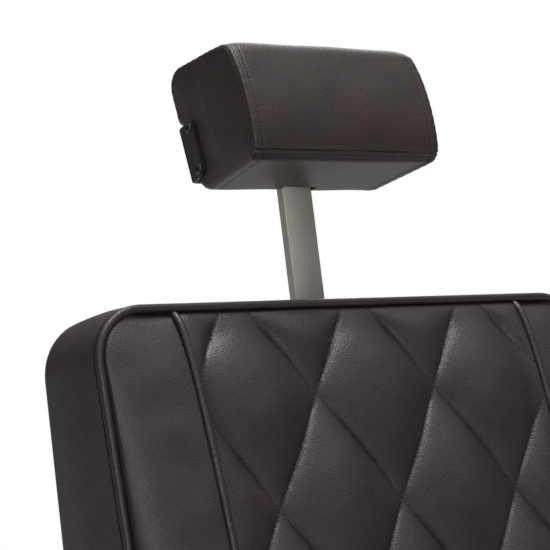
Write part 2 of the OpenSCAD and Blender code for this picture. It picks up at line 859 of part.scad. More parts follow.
// Lever, along -Y from the shaft and raised by its angle
module on_lever() {
    translate([-lever_x, pivot_y, pivot_z]) rotate([-lever_angle, 0, 0]) children();
}

module recline_lever() {
    color(steel) on_lever() difference() {
        union() {
            along_x(-lever_hub_w / 2, lever_hub_w / 2) circle(r = lever_hub_r);
            translate([-lever_t / 2, -lever_len, -lever_w / 2]) cube([lever_t, lever_len, lever_w]);
        }
        along_x(-lever_hub_w, lever_hub_w) circle(r = shaft_r + run_gap);
    }
}

module lever_grip() {
    color(rubber) on_lever() difference() {
        translate([0, -lever_len + grip_len - grip_wall, 0]) rotate([90, 0, 0])
            cylinder(r = grip_r, h = grip_len);
        translate([-lever_t / 2, -lever_len, -lever_w / 2])
            cube([lever_t, lever_len, lever_w]);
    }
}

// Seat
module seat_board() {
    w = 2 * (half_w + shell_out - board_inset);
    d = seat_len + 2 * (shell_out - board_inset);
    color(plywood) translate([0, seat_rear_y - seat_len / 2, board_z]) difference() {
        rounded_plate(w, d, seat_board_t, seat_corner_r - board_inset);
        for (x = [-1, 1], y = [member_ys[0], member_ys[3]])
            translate([x * board_screw_x, y + rail_w / 2 - seat_rear_y + seat_len / 2, -over])
                cylinder(r = m6_d / 2 + tight_gap, h = seat_board_t - board_cover + over);
    }
}

module seat_core() {
    color(vinyl) translate([0, seat_rear_y - seat_len / 2, seat_core_z])
        linear_extrude(seat_side_h - cord_r - soft_gap)
            rounded_outline(2 * (half_w + shell_out), seat_len + 2 * shell_out,
                seat_corner_r + shell_out, corner_r + shell_out);
}

module seat_quilt() {
    color(vinyl) on_seat_face() quilted_panel(seat_len, seat_bulge);
}

module seat_bands() {
    color(vinyl) on_seat_face() both_sides()
        side_band(seat_len, seat_bulge, seat_corner_r, corner_r);
}

module seat_pipings() {
    color(cord_colour) on_seat_face() {
        outer_cord(seat_len, seat_corner_r, corner_r);
        both_sides() inner_cord(seat_len, seat_bulge);
    }
}

// Arms
module arm_path(r) {
    along_x(rail_out, arm_x - arm_low_bend) circle(r = r);
    translate([arm_x - arm_low_bend, 0, arm_low_bend]) rotate([90, 90, 0]) quarter_bend(arm_low_bend, r);
    translate([arm_x, 0, arm_low_bend]) cylinder(r = r, h = arm_rise - arm_low_bend - arm_top_bend);
}

module arm_top(r) {
    translate([arm_x, arm_front_y + arm_top_bend, arm_rise - arm_top_bend])
        rotate([0, -90, 180]) quarter_bend(arm_top_bend, r);
    translate([arm_x, arm_rear_y - arm_top_bend, arm_rise - arm_top_bend])
        rotate([90, 0, 90]) quarter_bend(arm_top_bend, r);
    translate([arm_x, arm_rear_y - arm_top_bend, arm_rise]) rotate([90, 0, 0])
        cylinder(r = r, h = arm_span - 2 * arm_top_bend);
}

module arm_solid(r) {
    translate([0, arm_front_y, 0]) arm_path(r);
    translate([0, arm_rear_y, 0]) arm_path(r);
    arm_top(r);
}

module arm_frame() {
    color(steel) translate([0, 0, rail_mid_z]) difference() {
        union() {
            arm_solid(arm_tube_d / 2);
            for (y = [arm_front_y, arm_rear_y]) translate([rail_out, y - arm_flange_w / 2, -arm_flange_h / 2])
                cube([arm_flange_t, arm_flange_w, arm_flange_h]);
        }
        arm_solid(arm_tube_d / 2 - arm_tube_wall);
        for (y = [arm_front_y, arm_rear_y]) {
            translate([0, y, 0]) along_x(rail_out - over, rail_out + 2 * arm_flange_t)
                circle(r = arm_tube_d / 2 - arm_tube_wall);
            for (s = [-1, 1]) translate([0, y + s * arm_bolt_y, 0])
                along_x(rail_out - over, rail_out + 2 * arm_flange_t) circle(r = m6_d / 2 + bolt_gap);
        }
    }
}

module arm_frame_left() mirror([1, 0, 0]) arm_frame();
module arm_frame_right() arm_frame();

module arm_pad_boards() {
    color(plywood) both_sides() translate([arm_x, arm_mid_y, arm_top_z + arm_tube_d / 2])
        rounded_plate(arm_board_w, arm_board_len, arm_board_t, arm_pad_corner);
}

module arm_pads() {
    base = arm_top_z + arm_tube_d / 2 + arm_board_t;
    side_h = arm_pad_h - arm_crown;
    half = arm_pad_w / 2;
    long = arm_pad_len / 2;
    xs = [for (i = [-arm_pad_columns:arm_pad_columns]) half * sin(90 * i / arm_pad_columns)];
    ys = [for (j = [0:arm_pad_rows]) long * (1 - cos(180 * j / arm_pad_rows))];
    color(vinyl) both_sides() translate([arm_x, arm_mid_y + long, base + side_h])
        rotate([-90, 0, 0]) intersection() {
            pad(xs, ys, function (x, d) arm_crown * pow(max(0, 1 - pow(x / half, 4)), 0.5)
                * pow(max(0, 1 - pow(d / long - 1, 8)), 0.5), side_h);
            translate([0, side_h + over, -long]) rotate([90, 0, 0])
                linear_extrude(arm_pad_h + 2 * over)
                rounded_outline(arm_pad_w, arm_pad_len, arm_pad_corner, arm_pad_corner);
        }
}

// Footrest
module foot_path(r) {
    rotate([90, 0, 0]) cylinder(r = r, h = foot_run);
    translate([0, -foot_run, -foot_bend]) rotate([0, -90, 180]) quarter_bend(foot_bend, r);
    translate([0, -foot_run - foot_bend, -foot_drop]) cylinder(r = r, h = foot_drop - foot_bend);
}

module foot_tubes() {
    color(steel) for (x = [-foot_x, foot_x]) translate([x, rail_front_y, rail_mid_z]) difference() {
        union() {
            foot_path(foot_tube_d / 2);
            translate([-foot_flange_w / 2, -foot_flange_t, -arm_flange_h / 2])
                cube([foot_flange_w, foot_flange_t, arm_flange_h]);
            translate([0, -foot_run - foot_bend, -foot_drop])
                along_x(-foot_boss_r, foot_boss_r) circle(r = foot_boss_r);
        }
        difference() {
            union() {
                foot_path(foot_tube_d / 2 - foot_tube_wall);
                translate([0, over, 0]) rotate([90, 0, 0])
                    cylinder(r = foot_tube_d / 2 - foot_tube_wall, h = foot_run);
            }
            translate([0, -foot_run - foot_bend, -foot_drop])
                along_x(-foot_boss_r, foot_boss_r) circle(r = foot_boss_r);
        }
        translate([0, -foot_run - foot_bend, -foot_drop])
            along_x(-foot_tube_d, foot_tube_d) circle(r = foot_shaft_r + tight_gap);
        for (s = [-1, 1]) translate([s * foot_bolt_x, over, 0]) rotate([90, 0, 0])
            cylinder(r = m6_d / 2 + bolt_gap, h = foot_flange_t + 2 * over);
    }
}

module foot_shaft() {
    half = foot_x + foot_boss_r + m6_head_h;
    color(steel) translate([0, foot_y, foot_z]) {
        along_x(-half, half) circle(r = foot_shaft_r);
    }
}

module foot_plate() {
    eye_in = foot_x - foot_boss_r - foot_eye_gap;
    color(steel) translate([0, foot_y, foot_z]) difference() {
        union() {
            translate([0, -foot_eye_r - foot_tube_d / 2 - foot_plate_len / 2, -foot_plate_t / 2])
                rounded_plate(foot_plate_w, foot_plate_len, foot_plate_t, foot_corner);
            for (side = [-1, 1]) translate([side * (eye_in - foot_eye_w / 2), 0, 0]) {
                along_x(-foot_eye_w / 2, foot_eye_w / 2) circle(r = foot_eye_r);
                translate([-foot_eye_w / 2, -2 * foot_eye_r - foot_tube_d / 2, -foot_plate_t / 2])
                    cube([foot_eye_w, 2 * foot_eye_r + foot_tube_d / 2, foot_plate_t]);
            }
        }
        along_x(-foot_x, foot_x) circle(r = foot_shaft_r + run_gap);
    }
}

module foot_mat() {
    color(rubber) translate([0, foot_y - foot_eye_r - foot_tube_d / 2 - foot_plate_len / 2,
        foot_z + foot_plate_t / 2])
        rounded_plate(foot_plate_w - 2 * foot_mat_inset, foot_plate_len - 2 * foot_mat_inset, foot_mat_t,
            foot_corner - foot_mat_inset);
}

// Back
module back_upright(side) {
    color(black_steel) in_back() translate([side * rail_x, 0, 0]) difference() {
        union() {
            along_x(-eye_w / 2, eye_w / 2) circle(r = eye_r);
            translate([-upright_w / 2, -upright_t / 2, 0]) cube([upright_w, upright_t, upright_top_z]);
        }
        along_x(-eye_w, eye_w) circle(r = shaft_r + run_gap);
        for (z = [cross_low_z, cross_top_z, upright_top_z - cross_bar_h])
            translate([0, -upright_t, z + cross_bar_h / 2]) rotate([-90, 0, 0])
                cylinder(r = m6_d / 2 + tight_gap, h = 2 * upright_t);
    }
}

module back_upright_left() back_upright(-1);
module back_upright_right() back_upright(1);

module back_cross_bars() {
    half = rail_x - upright_w / 2;
    color(black_steel) in_back() for (z = [cross_low_z, cross_top_z])
        translate([-half, -upright_t / 2, z]) cube([2 * half, upright_t, cross_bar_h]);
}

// Outline of a flat piece of the back, drawn in X and Z and laid from one depth to another
module back_layer(y0, y1, half, low, high, r_top, r_low) {
    translate([0, y1, (low + high) / 2]) rotate([90, 0, 0]) linear_extrude(y1 - y0)
        rounded_outline(2 * half, high - low, r_top, r_low);
}

module back_board() {
    y0 = upright_t / 2;
    color(plywood) in_back() difference() {
        back_layer(y0, y0 + back_board_t, board_half_w, board_low_z, board_top_z,
            corner_r + shell_out - board_rim, rear_corner_r);
        translate([0, 0, clamp_z]) rotate([-90, 0, 0])
            cylinder(r = clamp_boss_r + bolt_gap, h = rear_y);
        for (x = [-rail_x, rail_x], z = [cross_low_z, cross_top_z, upright_top_z - cross_bar_h])
            translate([x, 0, z + cross_bar_h / 2]) rotate([-90, 0, 0]) {
                cylinder(r = m6_d / 2 + bolt_gap, h = rear_y);
                translate([0, 0, y0 + back_board_t - m6_head_h - bolt_gap])
                    cylinder(r = m6_head_d / 2 + bolt_gap, h = rear_y);
            }
    }
}

module back_screws() {
    head_y = upright_t / 2 + back_board_t - m6_head_h - bolt_gap;
    color(steel) in_back() for (x = [-rail_x, rail_x],
        z = [cross_low_z, cross_top_z, upright_top_z - cross_bar_h])
        translate([x, -upright_t / 2, z + cross_bar_h / 2]) rotate([-90, 0, 0]) {
            cylinder(r = m6_d / 2, h = head_y + upright_t / 2);
            translate([0, 0, head_y + upright_t / 2]) cylinder(r = m6_head_d / 2, h = m6_head_h);
        }
}

module back_core() {
    wide = half_w + shell_out;
    front = bottom_front_y - back_thick;
    color(vinyl) in_back() difference() {
        hull() {
            back_layer(front, rear_y - rim_back - rear_round, wide, core_low_z, core_top_z,
                corner_r + shell_out, seat_corner_r + shell_out, $fn = 32);
            back_layer(rear_y - rim_back - rear_round, rear_y - rim_back, wide - rear_round,
                core_low_z + rear_round / 2, core_top_z - rear_round / 2,
                corner_r + shell_out - rear_round, seat_corner_r + shell_out - rear_round, $fn = 32);
        }
        translate([0, top_front_y, top_z]) rotate([-back_wedge, 0, 0])
            translate([-half_w * 2, cord_r + soft_gap - 2 * back_thick, -2 * back_len])
                cube([4 * half_w, 2 * back_thick, 3 * back_len]);
        back_layer(upright_t / 2, rear_y + over, board_half_w + soft_gap, board_low_z - soft_gap,
            board_top_z + soft_gap, corner_r + shell_out - board_rim + soft_gap, rear_corner_r + soft_gap);
        for (side = [-1, 1])
            translate([side * rail_x - upright_w / 2 - soft_gap, -upright_t / 2 - soft_gap, 0])
                cube([upright_w + 2 * soft_gap, upright_t + over, upright_top_z + soft_gap]);
        for (z = [cross_low_z, cross_top_z])
            translate([-rail_x, -upright_t / 2 - soft_gap, z - soft_gap])
                cube([2 * rail_x, upright_t + over, cross_bar_h + 2 * soft_gap]);
        sleeve_block(soft_gap, core_top_z + over);
        translate([0, 0, bar_low_z - lift_room]) bar_block(2 * soft_gap, sleeve_len + lift_room);
        collar_block(soft_gap, over);
    }
}

module bar_block(gap, h) {
    translate([-bar_w / 2 - gap, bar_rear_y - bar_t - gap, 0]) cube([bar_w + 2 * gap, bar_t + 2 * gap, h]);
}

module sleeve_block(gap, high) {
    half = bar_w / 2 + bar_gap + sleeve_wall + gap;
    front = bar_rear_y - bar_t - bar_gap - sleeve_wall - gap;
    low = sleeve_top_z - sleeve_len - gap;
    translate([-half, front, low]) cube([2 * half, upright_t / 2 + (gap > 0 ? over : 0) - front, high - low]);
}

module collar_block(gap, lift) {
    front = bar_rear_y - bar_t - collar_front;
    translate([-collar_w / 2 - gap, front - gap, sleeve_top_z])
        cube([collar_w + 2 * gap, bar_t + collar_front + collar_rear + 2 * gap, collar_t + lift]);
}

module back_quilt() {
    color(vinyl) on_back_face() quilted_panel(back_len, back_bulge);
}

module back_bands() {
    color(vinyl) on_back_face() both_sides()
        side_band(back_len, back_bulge, corner_r, seat_corner_r);
}

module back_pipings() {
    color(cord_colour) on_back_face() {
        outer_cord(back_len, corner_r, seat_corner_r);
        both_sides() inner_cord(back_len, back_bulge);
    }
}

module back_panel() {
    color(vinyl) in_back() difference() {
        back_layer(rear_y - panel_t + soft_gap, rear_y, board_half_w, board_low_z, board_top_z,
            corner_r + shell_out - board_rim, rear_corner_r);
        translate([0, 0, clamp_z]) rotate([-90, 0, 0])
            cylinder(r = clamp_boss_r, h = rear_y + over);
    }
}

// Bar, sleeve and clamp
module bar_sleeve() {
    color(black_steel) in_back() difference() {
        union() {
            sleeve_block(0, sleeve_top_z);
            translate([0, upright_t / 2, clamp_z]) rotate([-90, 0, 0])
                cylinder(r = clamp_boss_r, h = clamp_boss_h);
        }
        translate([0, 0, sleeve_top_z - sleeve_len - over]) bar_block(bar_gap, sleeve_len + 2 * over);
        translate([0, bar_rear_y - over, clamp_z]) rotate([-90, 0, 0])
            cylinder(r = clamp_d / 2 + run_gap, h = rear_y);
    }
}

module slot_collar() {
    color(black_steel) in_back() difference() {
        collar_block(0, 0);
        translate([0, 0, sleeve_top_z - over]) bar_block(soft_gap, collar_t + 2 * over);
    }
}

module clamp_screw() {
    start = bar_rear_y + clamp_tip_gap;
    color(steel) in_back() translate([0, start, clamp_z]) rotate([-90, 0, 0])
        cylinder(r = clamp_d / 2, h = rear_y + knob_gap + knob_bury - start);
}

module clamp_knob() {
    color(rubber) in_back() translate([0, rear_y + knob_gap, clamp_z]) rotate([-90, 0, 0]) difference() {
        linear_extrude(knob_h) difference() {
            circle(r = knob_r);
            for (a = [0:360 / knob_lobes:359]) rotate(a) translate([knob_r + knob_notch_r / 2, 0])
                circle(r = knob_notch_r);
        }
        translate([0, 0, -over]) cylinder(r = clamp_d / 2 + tight_gap, h = knob_bury + over);
    }
}

module head_bar() {
    color(steel) in_back() difference() {
        union() {
            translate([-bar_w / 2, bar_rear_y - bar_t, bar_low_z]) cube([bar_w, bar_t, bar_len]);
            translate([0, bar_mid_y, bar_hinge_z]) along_x(-bar_w / 2, bar_w / 2) circle(r = knuckle_r);
        }
        translate([0, bar_mid_y, bar_hinge_z]) along_x(-bar_w, bar_w)
            circle(r = hinge_pin_d / 2 + run_gap);
    }
}

module head_hinge_pin() {
    half = bar_w / 2 + ear_gap + ear_t + pin_over;
    color(steel) in_head() translate([0, hinge_y, hinge_z]) along_x(-half, half)
        circle(r = hinge_pin_d / 2);
}

// Headrest
// Frame of the headrest's right side face, from its rear corner
module on_head_side() {
    translate([head_back_half, head_back_y, 0]) rotate([0, 0, taper_angle]) children();
}

module head_bracket() {
    color(black_steel) in_head() difference() {
        union() {
            translate([-head_back_half, head_back_y + soft_gap, bracket_low_z])
                cube([2 * head_back_half, bracket_t_head, bracket_h]);
            both_sides() on_head_side()
                translate([0, soft_gap + bracket_t_head - flange_len / 2, bracket_low_z + bracket_h / 2])
                along_x(0, bracket_t_head)
                rounded_outline(bracket_h, flange_len, flange_far_r, flange_near_r);
            both_sides() along_x(head_ear_x, head_ear_x + ear_t) {
                translate([-hinge_z, hinge_y]) circle(r = ear_half_h);
                translate([-hinge_z - ear_half_h, hinge_y])
                    square([2 * ear_half_h, head_back_y + soft_gap - hinge_y + ear_bury]);
            }
        }
        translate([0, hinge_y, hinge_z]) along_x(-head_half_w / 2, head_half_w / 2)
            circle(r = hinge_pin_d / 2 + tight_gap);
        translate([-bar_w / 2 - neck_gap, head_back_y, bracket_low_z - over])
            cube([bar_w + 2 * neck_gap, 2 * bracket_t_head, bracket_notch_h + over]);
        for (z = head_screw_zs) both_sides() on_head_side() translate([0, -head_screw_y, z])
            along_x(-over, bracket_t_head + over) circle(r = m6_d / 2 + bolt_gap);
    }
}

module head_screws() {
    color(black_steel) in_head() both_sides() for (z = head_screw_zs)
        on_head_side() translate([bracket_t_head, -head_screw_y, z]) rotate([0, -90, 0])
            m6_screw(bracket_t_head + head_screw_len);
}

module head_screw_holes(gap) {
    for (z = head_screw_zs) both_sides() on_head_side() translate([0, -head_screw_y, z])
        along_x(-head_screw_len - over, over) circle(r = m6_d / 2 + gap);
}

module head_pocket() {
    half = head_ear_x + ear_t + pin_over + pocket_gap;
    neck_half = bar_w / 2 + neck_gap;
    neck_y = hinge_y + (hinge_z - neck_h) * tan(head_tilt - head_forward)
        - bar_t / 2 / cos(head_tilt - head_forward) - neck_front;
    translate([-half, hinge_y - pocket_front, neck_h])
        cube([2 * half, head_depth, hinge_z + pocket_top - neck_h]);
    translate([-neck_half, neck_y, -head_drop - over])
        cube([2 * neck_half, head_depth, neck_h + head_drop + 2 * over]);
}

module head_board_block(gap) {
    translate([-head_board_half_w - gap, head_back_y - head_board_behind - head_board_t - gap,
        head_board_low - gap])
        cube([2 * (head_board_half_w + gap), head_board_t + 2 * gap,
            head_h + head_flare - head_board_top - head_board_low + 2 * gap]);
}

module head_board() {
    color(plywood) in_head() difference() {
        head_board_block(0);
        head_pocket();
        head_screw_holes(tight_gap);
    }
}

// Rounded corner of the headrest's side outline, from one edge's end to the next one's start
function turn(p, from, to, r) = let (a = p + r * (from - p) / norm(from - p),
    b = p + r * (to - p) / norm(to - p)) [for (k = [0:head_turn_steps]) let (t = k / head_turn_steps)
    (1 - t) * (1 - t) * a + 2 * t * (1 - t) * p + t * t * b];

module head_cushion() {
    heel_front = [0, -head_drop];
    top_front = [0, head_h];
    top_rear = [head_depth, head_h + head_flare];
    step_high = [head_depth, head_step_z + head_step_h];
    step_low = [head_back_y, head_step_z];
    heel_rear = [head_back_y, 0];
    outline = concat(turn(heel_front, heel_rear, top_front, head_front_r),
        [for (q = head_front_shares) [0, head_h * q]],
        turn(top_front, heel_front, top_rear, head_top_r),
        turn(top_rear, top_front, step_high, head_rear_r),
        turn(step_high, top_rear, step_low, head_step_r), [step_low],
        turn(heel_rear, step_low, heel_front, head_heel_r));
    middle = [head_depth / 2, head_h / 2];
    count = len(outline);
    last = len(head_station_shares) - 1;
    points = [for (s = head_station_shares) for (p = outline)
        let (shrink = 1 - head_end_soft / middle[1] * pow(abs(s), head_end_power),
            q = middle + shrink * (p - middle),
            up = min(1, max(0, (q[1] + head_drop) / (crown_reach_share * head_h))),
            ends = 1 - crown_end_share * pow(abs(s), crown_end_power),
            y = q[0] - head_crown * pow(1 - q[0] / head_depth, 2) * ends
                * pow(sin(180 * pow(up, crown_low_power)), crown_round_power))
        [s * (head_half_w - head_taper * y / head_depth), y, q[1]]];
    faces = concat([[for (k = [0:count - 1]) k]],
        [[for (k = [count - 1:-1:0]) last * count + k]],
        [for (i = [0:last - 1]) for (k = [0:count - 1]) let (n = (k + 1) % count, a = i * count)
            each [[a + k, a + count + k, a + n], [a + n, a + count + k, a + count + n]]]);
    color(vinyl) in_head() difference() {
        polyhedron(points = points, faces = faces);
        head_pocket();
        head_board_block(soft_gap);
        head_screw_holes(bolt_gap);
    }
}

floor_pad();
base_plate();
base_cover();
pump_housing();
pump_gland();
pump_bolts();
pedal_bracket();
pedal_pin();
pedal_arm();
pedal_pad();
piston_head();
piston_rod();
thrust_washer();
swivel_hub();
hub_bolts();
seat_rail_left();
seat_rail_right();
rail_caps();
cross_members();
frame_screws();
hinge_brackets();
recline_shaft();
shaft_collars();
friction_washers();
recline_lever();
lever_grip();
seat_board();
seat_core();
seat_quilt();
seat_bands();
seat_pipings();
arm_frame_left();
arm_frame_right();
arm_pad_boards();
arm_pads();
foot_tubes();
foot_shaft();
foot_plate();
foot_mat();
back_upright_left();
back_upright_right();
back_cross_bars();
back_board();
back_screws();
back_core();
back_quilt();
back_bands();
back_pipings();
back_panel();
bar_sleeve();
slot_collar();
clamp_screw();
clamp_knob();
head_bar();
head_hinge_pin();
head_bracket();
head_screws();
head_board();
head_cushion();
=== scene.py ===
# Threading chair: upholstery, stitching, metalwork and finishes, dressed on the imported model.
# Lengths are in metres; MM turns a size written in millimetres.
import json
import math

import bmesh
import bpy
import numpy as np
from mathutils import Matrix, Vector

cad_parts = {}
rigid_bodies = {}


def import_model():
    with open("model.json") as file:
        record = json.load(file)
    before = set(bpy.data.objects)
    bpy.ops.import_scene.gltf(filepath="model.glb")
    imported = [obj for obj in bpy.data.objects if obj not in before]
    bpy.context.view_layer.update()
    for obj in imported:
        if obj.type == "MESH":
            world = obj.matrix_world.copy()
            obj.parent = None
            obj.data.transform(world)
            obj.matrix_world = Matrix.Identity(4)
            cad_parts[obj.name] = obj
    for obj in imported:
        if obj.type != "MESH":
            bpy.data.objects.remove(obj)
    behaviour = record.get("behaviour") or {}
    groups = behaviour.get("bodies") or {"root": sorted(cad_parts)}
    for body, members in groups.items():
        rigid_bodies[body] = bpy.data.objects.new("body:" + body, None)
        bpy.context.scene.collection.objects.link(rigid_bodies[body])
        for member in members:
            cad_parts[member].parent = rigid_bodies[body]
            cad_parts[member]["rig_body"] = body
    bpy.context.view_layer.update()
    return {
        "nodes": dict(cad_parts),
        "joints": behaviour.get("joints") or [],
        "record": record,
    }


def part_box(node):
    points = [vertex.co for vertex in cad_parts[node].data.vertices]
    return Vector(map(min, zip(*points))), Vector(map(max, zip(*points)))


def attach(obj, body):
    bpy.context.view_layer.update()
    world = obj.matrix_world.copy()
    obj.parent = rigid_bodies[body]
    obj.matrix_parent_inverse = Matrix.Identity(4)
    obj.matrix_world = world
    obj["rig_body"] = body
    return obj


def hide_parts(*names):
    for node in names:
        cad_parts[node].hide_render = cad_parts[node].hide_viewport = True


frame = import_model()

MM = 0.001
SEED = 7
SAME_SPOT = 0.01 * MM
SLOPE_STEP = 0.5 * MM

# Frames of the back, the seat and the headrest; a padded face's local point is (across, -height, -down)
JOINTS = {joint["name"]: joint for joint in frame["joints"]}
PIVOT = Vector(JOINTS["back_recline"]["pos_m"])
HEAD_HINGE = Vector(JOINTS["head_tilt"]["pos_m"])
BACK_UP = Vector(JOINTS["bar_slide"]["axis"])
BACK_TILT = math.atan2(BACK_UP.y, BACK_UP.z)
BACK_WEDGE = math.radians(4.6)
HEAD_TILT = math.radians(12.1)
BACK_LENGTH = 570 * MM
BACK_THICK = 94 * MM
BACK_REAR = 22 * MM
BACK_LIFT = 40 * MM
HEAD_HINGE_IN = Vector((0, 83 * MM, 40.7 * MM))
SEAT_LENGTH = 470 * MM
SEAT_REAR = 150 * MM
SEAT_PLANE = 450.05 * MM

IN_BACK = Matrix.Translation(PIVOT) @ Matrix.Rotation(-BACK_TILT, 4, "X")
BACK_TOP = Vector((0, BACK_REAR - BACK_THICK, BACK_LIFT + BACK_LENGTH * math.cos(BACK_WEDGE)))
BACK_FACE = IN_BACK @ Matrix.Translation(BACK_TOP) @ Matrix.Rotation(-BACK_WEDGE, 4, "X")
SEAT_FACE = Matrix.Translation((0, SEAT_REAR, SEAT_PLANE)) @ Matrix.Rotation(-math.pi / 2, 4, "X")
IN_HEAD = (Matrix.Translation(HEAD_HINGE) @ Matrix.Rotation(-BACK_TILT - HEAD_TILT, 4, "X")
           @ Matrix.Translation(-HEAD_HINGE_IN))

# Piping, thread and seams
CORD_R = 4 * MM
SEAM_GAP = 0.3 * MM
SEAM_IN = CORD_R + SEAM_GAP
PIPING_DIVE = 6 * MM
PIPING_DIVE_REACH = 9 * MM
STITCH_PITCH = 5 * MM
STITCH_SHARE = 0.66
THREAD = 1.1 * MM
THREAD_PROUD = 0.45 * THREAD

# Back and seat: the padding's crown and sewn edges, the quilting's pillows and puckers, the smooth bands,
# and the boxed sides behind them
HALF_WIDTH = 290 * MM
INNER_X = 204.8 * MM
QUILT_HALF = INNER_X - SEAM_IN
BACK_BULGE = 21 * MM
SEAT_BULGE = 12 * MM
BULGE_SHARE = 1.15
EDGE_CROWN = 14.5 * MM
EDGE_SOFT = 30 * MM
EDGE_DIP = 3.5 * MM
EDGE_DIP_REACH = 7 * MM
CORNER_BIG = 50 * MM
CORNER_SMALL = 40 * MM
DIAMOND_W = 141 * MM
DIAMOND_H = 210 * MM
FIRST_ROW_SHARE = 0.414
QUILT_CELLS = 28
QUILT_SINK = 9.5 * MM
QUILT_PUFF = 16 * MM
QUILT_ROUND = 0.56
QUILT_EDGE = 26 * MM
QUILT_UNEVEN = 0.4 * MM
QUILT_WAVE = 70 * MM
QUILT_FINE_UNEVEN = 0.1 * MM
QUILT_FINE_WAVE = 28 * MM
PUCKER = 0.3 * MM
PUCKER_PITCH = 11 * MM
PUCKER_REACH = 9 * MM
PUCKER_START = 1.5 * MM
PUCKER_DRIFT_WAVE = 60 * MM
PUCKER_DEPTH_WAVE = 45 * MM
BAND_SHOULDER = 4 * MM
BAND_SHOULDER_REACH = 24 * MM
BAND_SOFT = 0.7 * MM
BAND_WAVE = 55 * MM
CORE_SWELL = 2.2 * MM
CORE_UNEVEN = 0.6 * MM
CORE_WAVE = 110 * MM
CORE_STEPS = 16
ROUND_STEPS = 8
BACK_ROUND = 12 * MM
SEAT_ROUND = 9 * MM
REAR_PANEL_SUNK = 2 * MM

# Headrest: its side outline, the filling's swell, the seams and creases of its cover, and the hollows that
# its bracket and bar lie in
HEAD_HALF = 112.2 * MM
HEAD_TAPER = 12.6 * MM
HEAD_DEPTH = 117 * MM
HEAD_BACK = 108 * MM
HEAD_FRONT = 110 * MM
HEAD_REAR = 134 * MM
HEAD_DROP = 9.5 * MM
HEAD_STEP = (73 * MM, 79 * MM)
HEAD_RADII = (10 * MM, 17 * MM, 20 * MM, 5 * MM, 2.5 * MM, 24 * MM)
HEAD_CROWN = 12 * MM
HEAD_CROWN_REACH = 1.18 * HEAD_FRONT
HEAD_SEAM_LOW = 4.5 * MM
HEAD_CORNER_PULL = 2.2 * MM
HEAD_CORNER_REACH = 24 * MM
HEAD_TOP_CROWN = 2 * MM
HEAD_DOME = 3 * MM
HEAD_EDGE = 5 * MM
HEAD_SIDE_SEAM = math.radians(50)
HEAD_RIPPLE = 0.2 * MM
HEAD_RIPPLE_PITCH = 10 * MM
HEAD_RIPPLE_WAVE = 60 * MM
HEAD_CREASE_REACH = 10 * MM
HEAD_CREASE_START = 2 * MM
HEAD_SIDE_CREASE = 9 * MM
HEAD_SOFT = 0.35 * MM
HEAD_SOFT_WAVE = 85 * MM
HEAD_SOFT_REAR = 12 * MM
HEAD_SOFT_SIDE = 14 * MM
HEAD_SIDE_SOFT = 0.25 * MM
HEAD_SIDE_WAVE = 60 * MM
HEAD_SIDE_SHARES = (0.02, 0.12, 0.24, 0.36, 0.48, 0.6, 0.7, 0.79, 0.87, 0.93, 0.97)
HEAD_SEAM_STEPS = np.array([0, 0.6, 1.2, 1.8, 2.6, 3.4, 4.2, 5, 6, 7.4, 9, 11]) * MM
HEAD_HOLLOWS = (((-19.5 * MM, 80.3 * MM, -20 * MM), (19.5 * MM, 160 * MM, 15 * MM)),
                ((-24.1 * MM, 72 * MM, 14 * MM), (24.1 * MM, 160 * MM, 54.7 * MM)))
FLANGE_NEAR = 80 * MM
FLANGE_TOP = 75 * MM
FLANGE_FADE = 30 * MM
SEAM_SINK = 1.5 * MM
SEAM_WIDTH = 0.9 * MM
STITCH_SINK = 0.5 * MM
TOPSTITCH = 4.4 * MM
SIDE_TOPSTITCH = 6.5 * MM

# Rear panel; its edge turns over in steps of (inwards, depth in front of the back's rear)
PANEL_HALF = 280.5 * MM
PANEL_LOW = 44 * MM
PANEL_TOP = 603.2 * MM
PANEL_R = (40.5 * MM, 22 * MM)
PANEL_PROFILE = [(inset * MM, deep * MM) for inset, deep in (
    (0, 5.6), (0, 4.2), (0.5, 2.6), (1.6, 1.2), (3.2, 0.4), (5.4, 0.1), (7.4, 0.1), (8.6, 0.4), (9.3, 0.6),
    (10, 0.4), (11.4, 0), (14, -0.4), (19, -0.8))]
PANEL_RINGS = (0.94, 0.86, 0.76, 0.64, 0.5, 0.35, 0.2, 0.08, 0.02)
PANEL_STITCH = 9.3 * MM
PANEL_THREAD_PROUD = 0.1 * MM
PANEL_SOFT = 0.45 * MM
PANEL_WAVE = 150 * MM
CLAMP_Z = (IN_BACK.inverted() @ Vector(JOINTS["clamp_turn"]["pos_m"])).z
CLAMP_HOLE_R = 9.6 * MM
CLAMP_HOLE_LONG = 40 * MM
CLAMP_FLAT = 40 * MM

# Arm pads; a pad's side rises in steps of (inwards, upwards)
ARM_X = 335 * MM
ARM_MIDDLE_Y = -65 * MM
ARM_PAD_BASE = 675.6 * MM
ARM_PAD_HALF = 31 * MM
ARM_PAD_LONG = 190 * MM
ARM_PAD_CORNER = 22 * MM
ARM_PAD_TALL = 33.8 * MM
ARM_PAD_PROFILE = [(inset * MM, rise * MM) for inset, rise in (
    (6, 0), (3, 0.3), (1.2, 1.6), (0.3, 4), (0, 8), (0.2, 12), (0.7, 15), (1.5, 16.4), (1.9, 17), (1.5, 17.6),
    (0.8, 19), (0.8, 21), (1.4, 23.4), (2.8, 25.8), (5, 27.8), (8, 29.3), (12, 30.5))]
ARM_PAD_RINGS = (0.9, 0.78, 0.64, 0.5, 0.36, 0.22, 0.1, 0.03)
ARM_PAD_STITCH = (0.6 * MM, 20.6 * MM)
ARM_PAD_SOFT = 0.5 * MM
ARM_PAD_SOFT_RISE = 20 * MM
ARM_PAD_WAVE = 70 * MM
ARM_PAD_HELD = 3 * MM
ARM_PAD_SEWN = 1.5 * MM
ARM_PAD_SWELL = 5 * MM
CLOTH_FRAMES = 20
CLOTH_MASS = 0.3
CLOTH_PRESSURE = 4

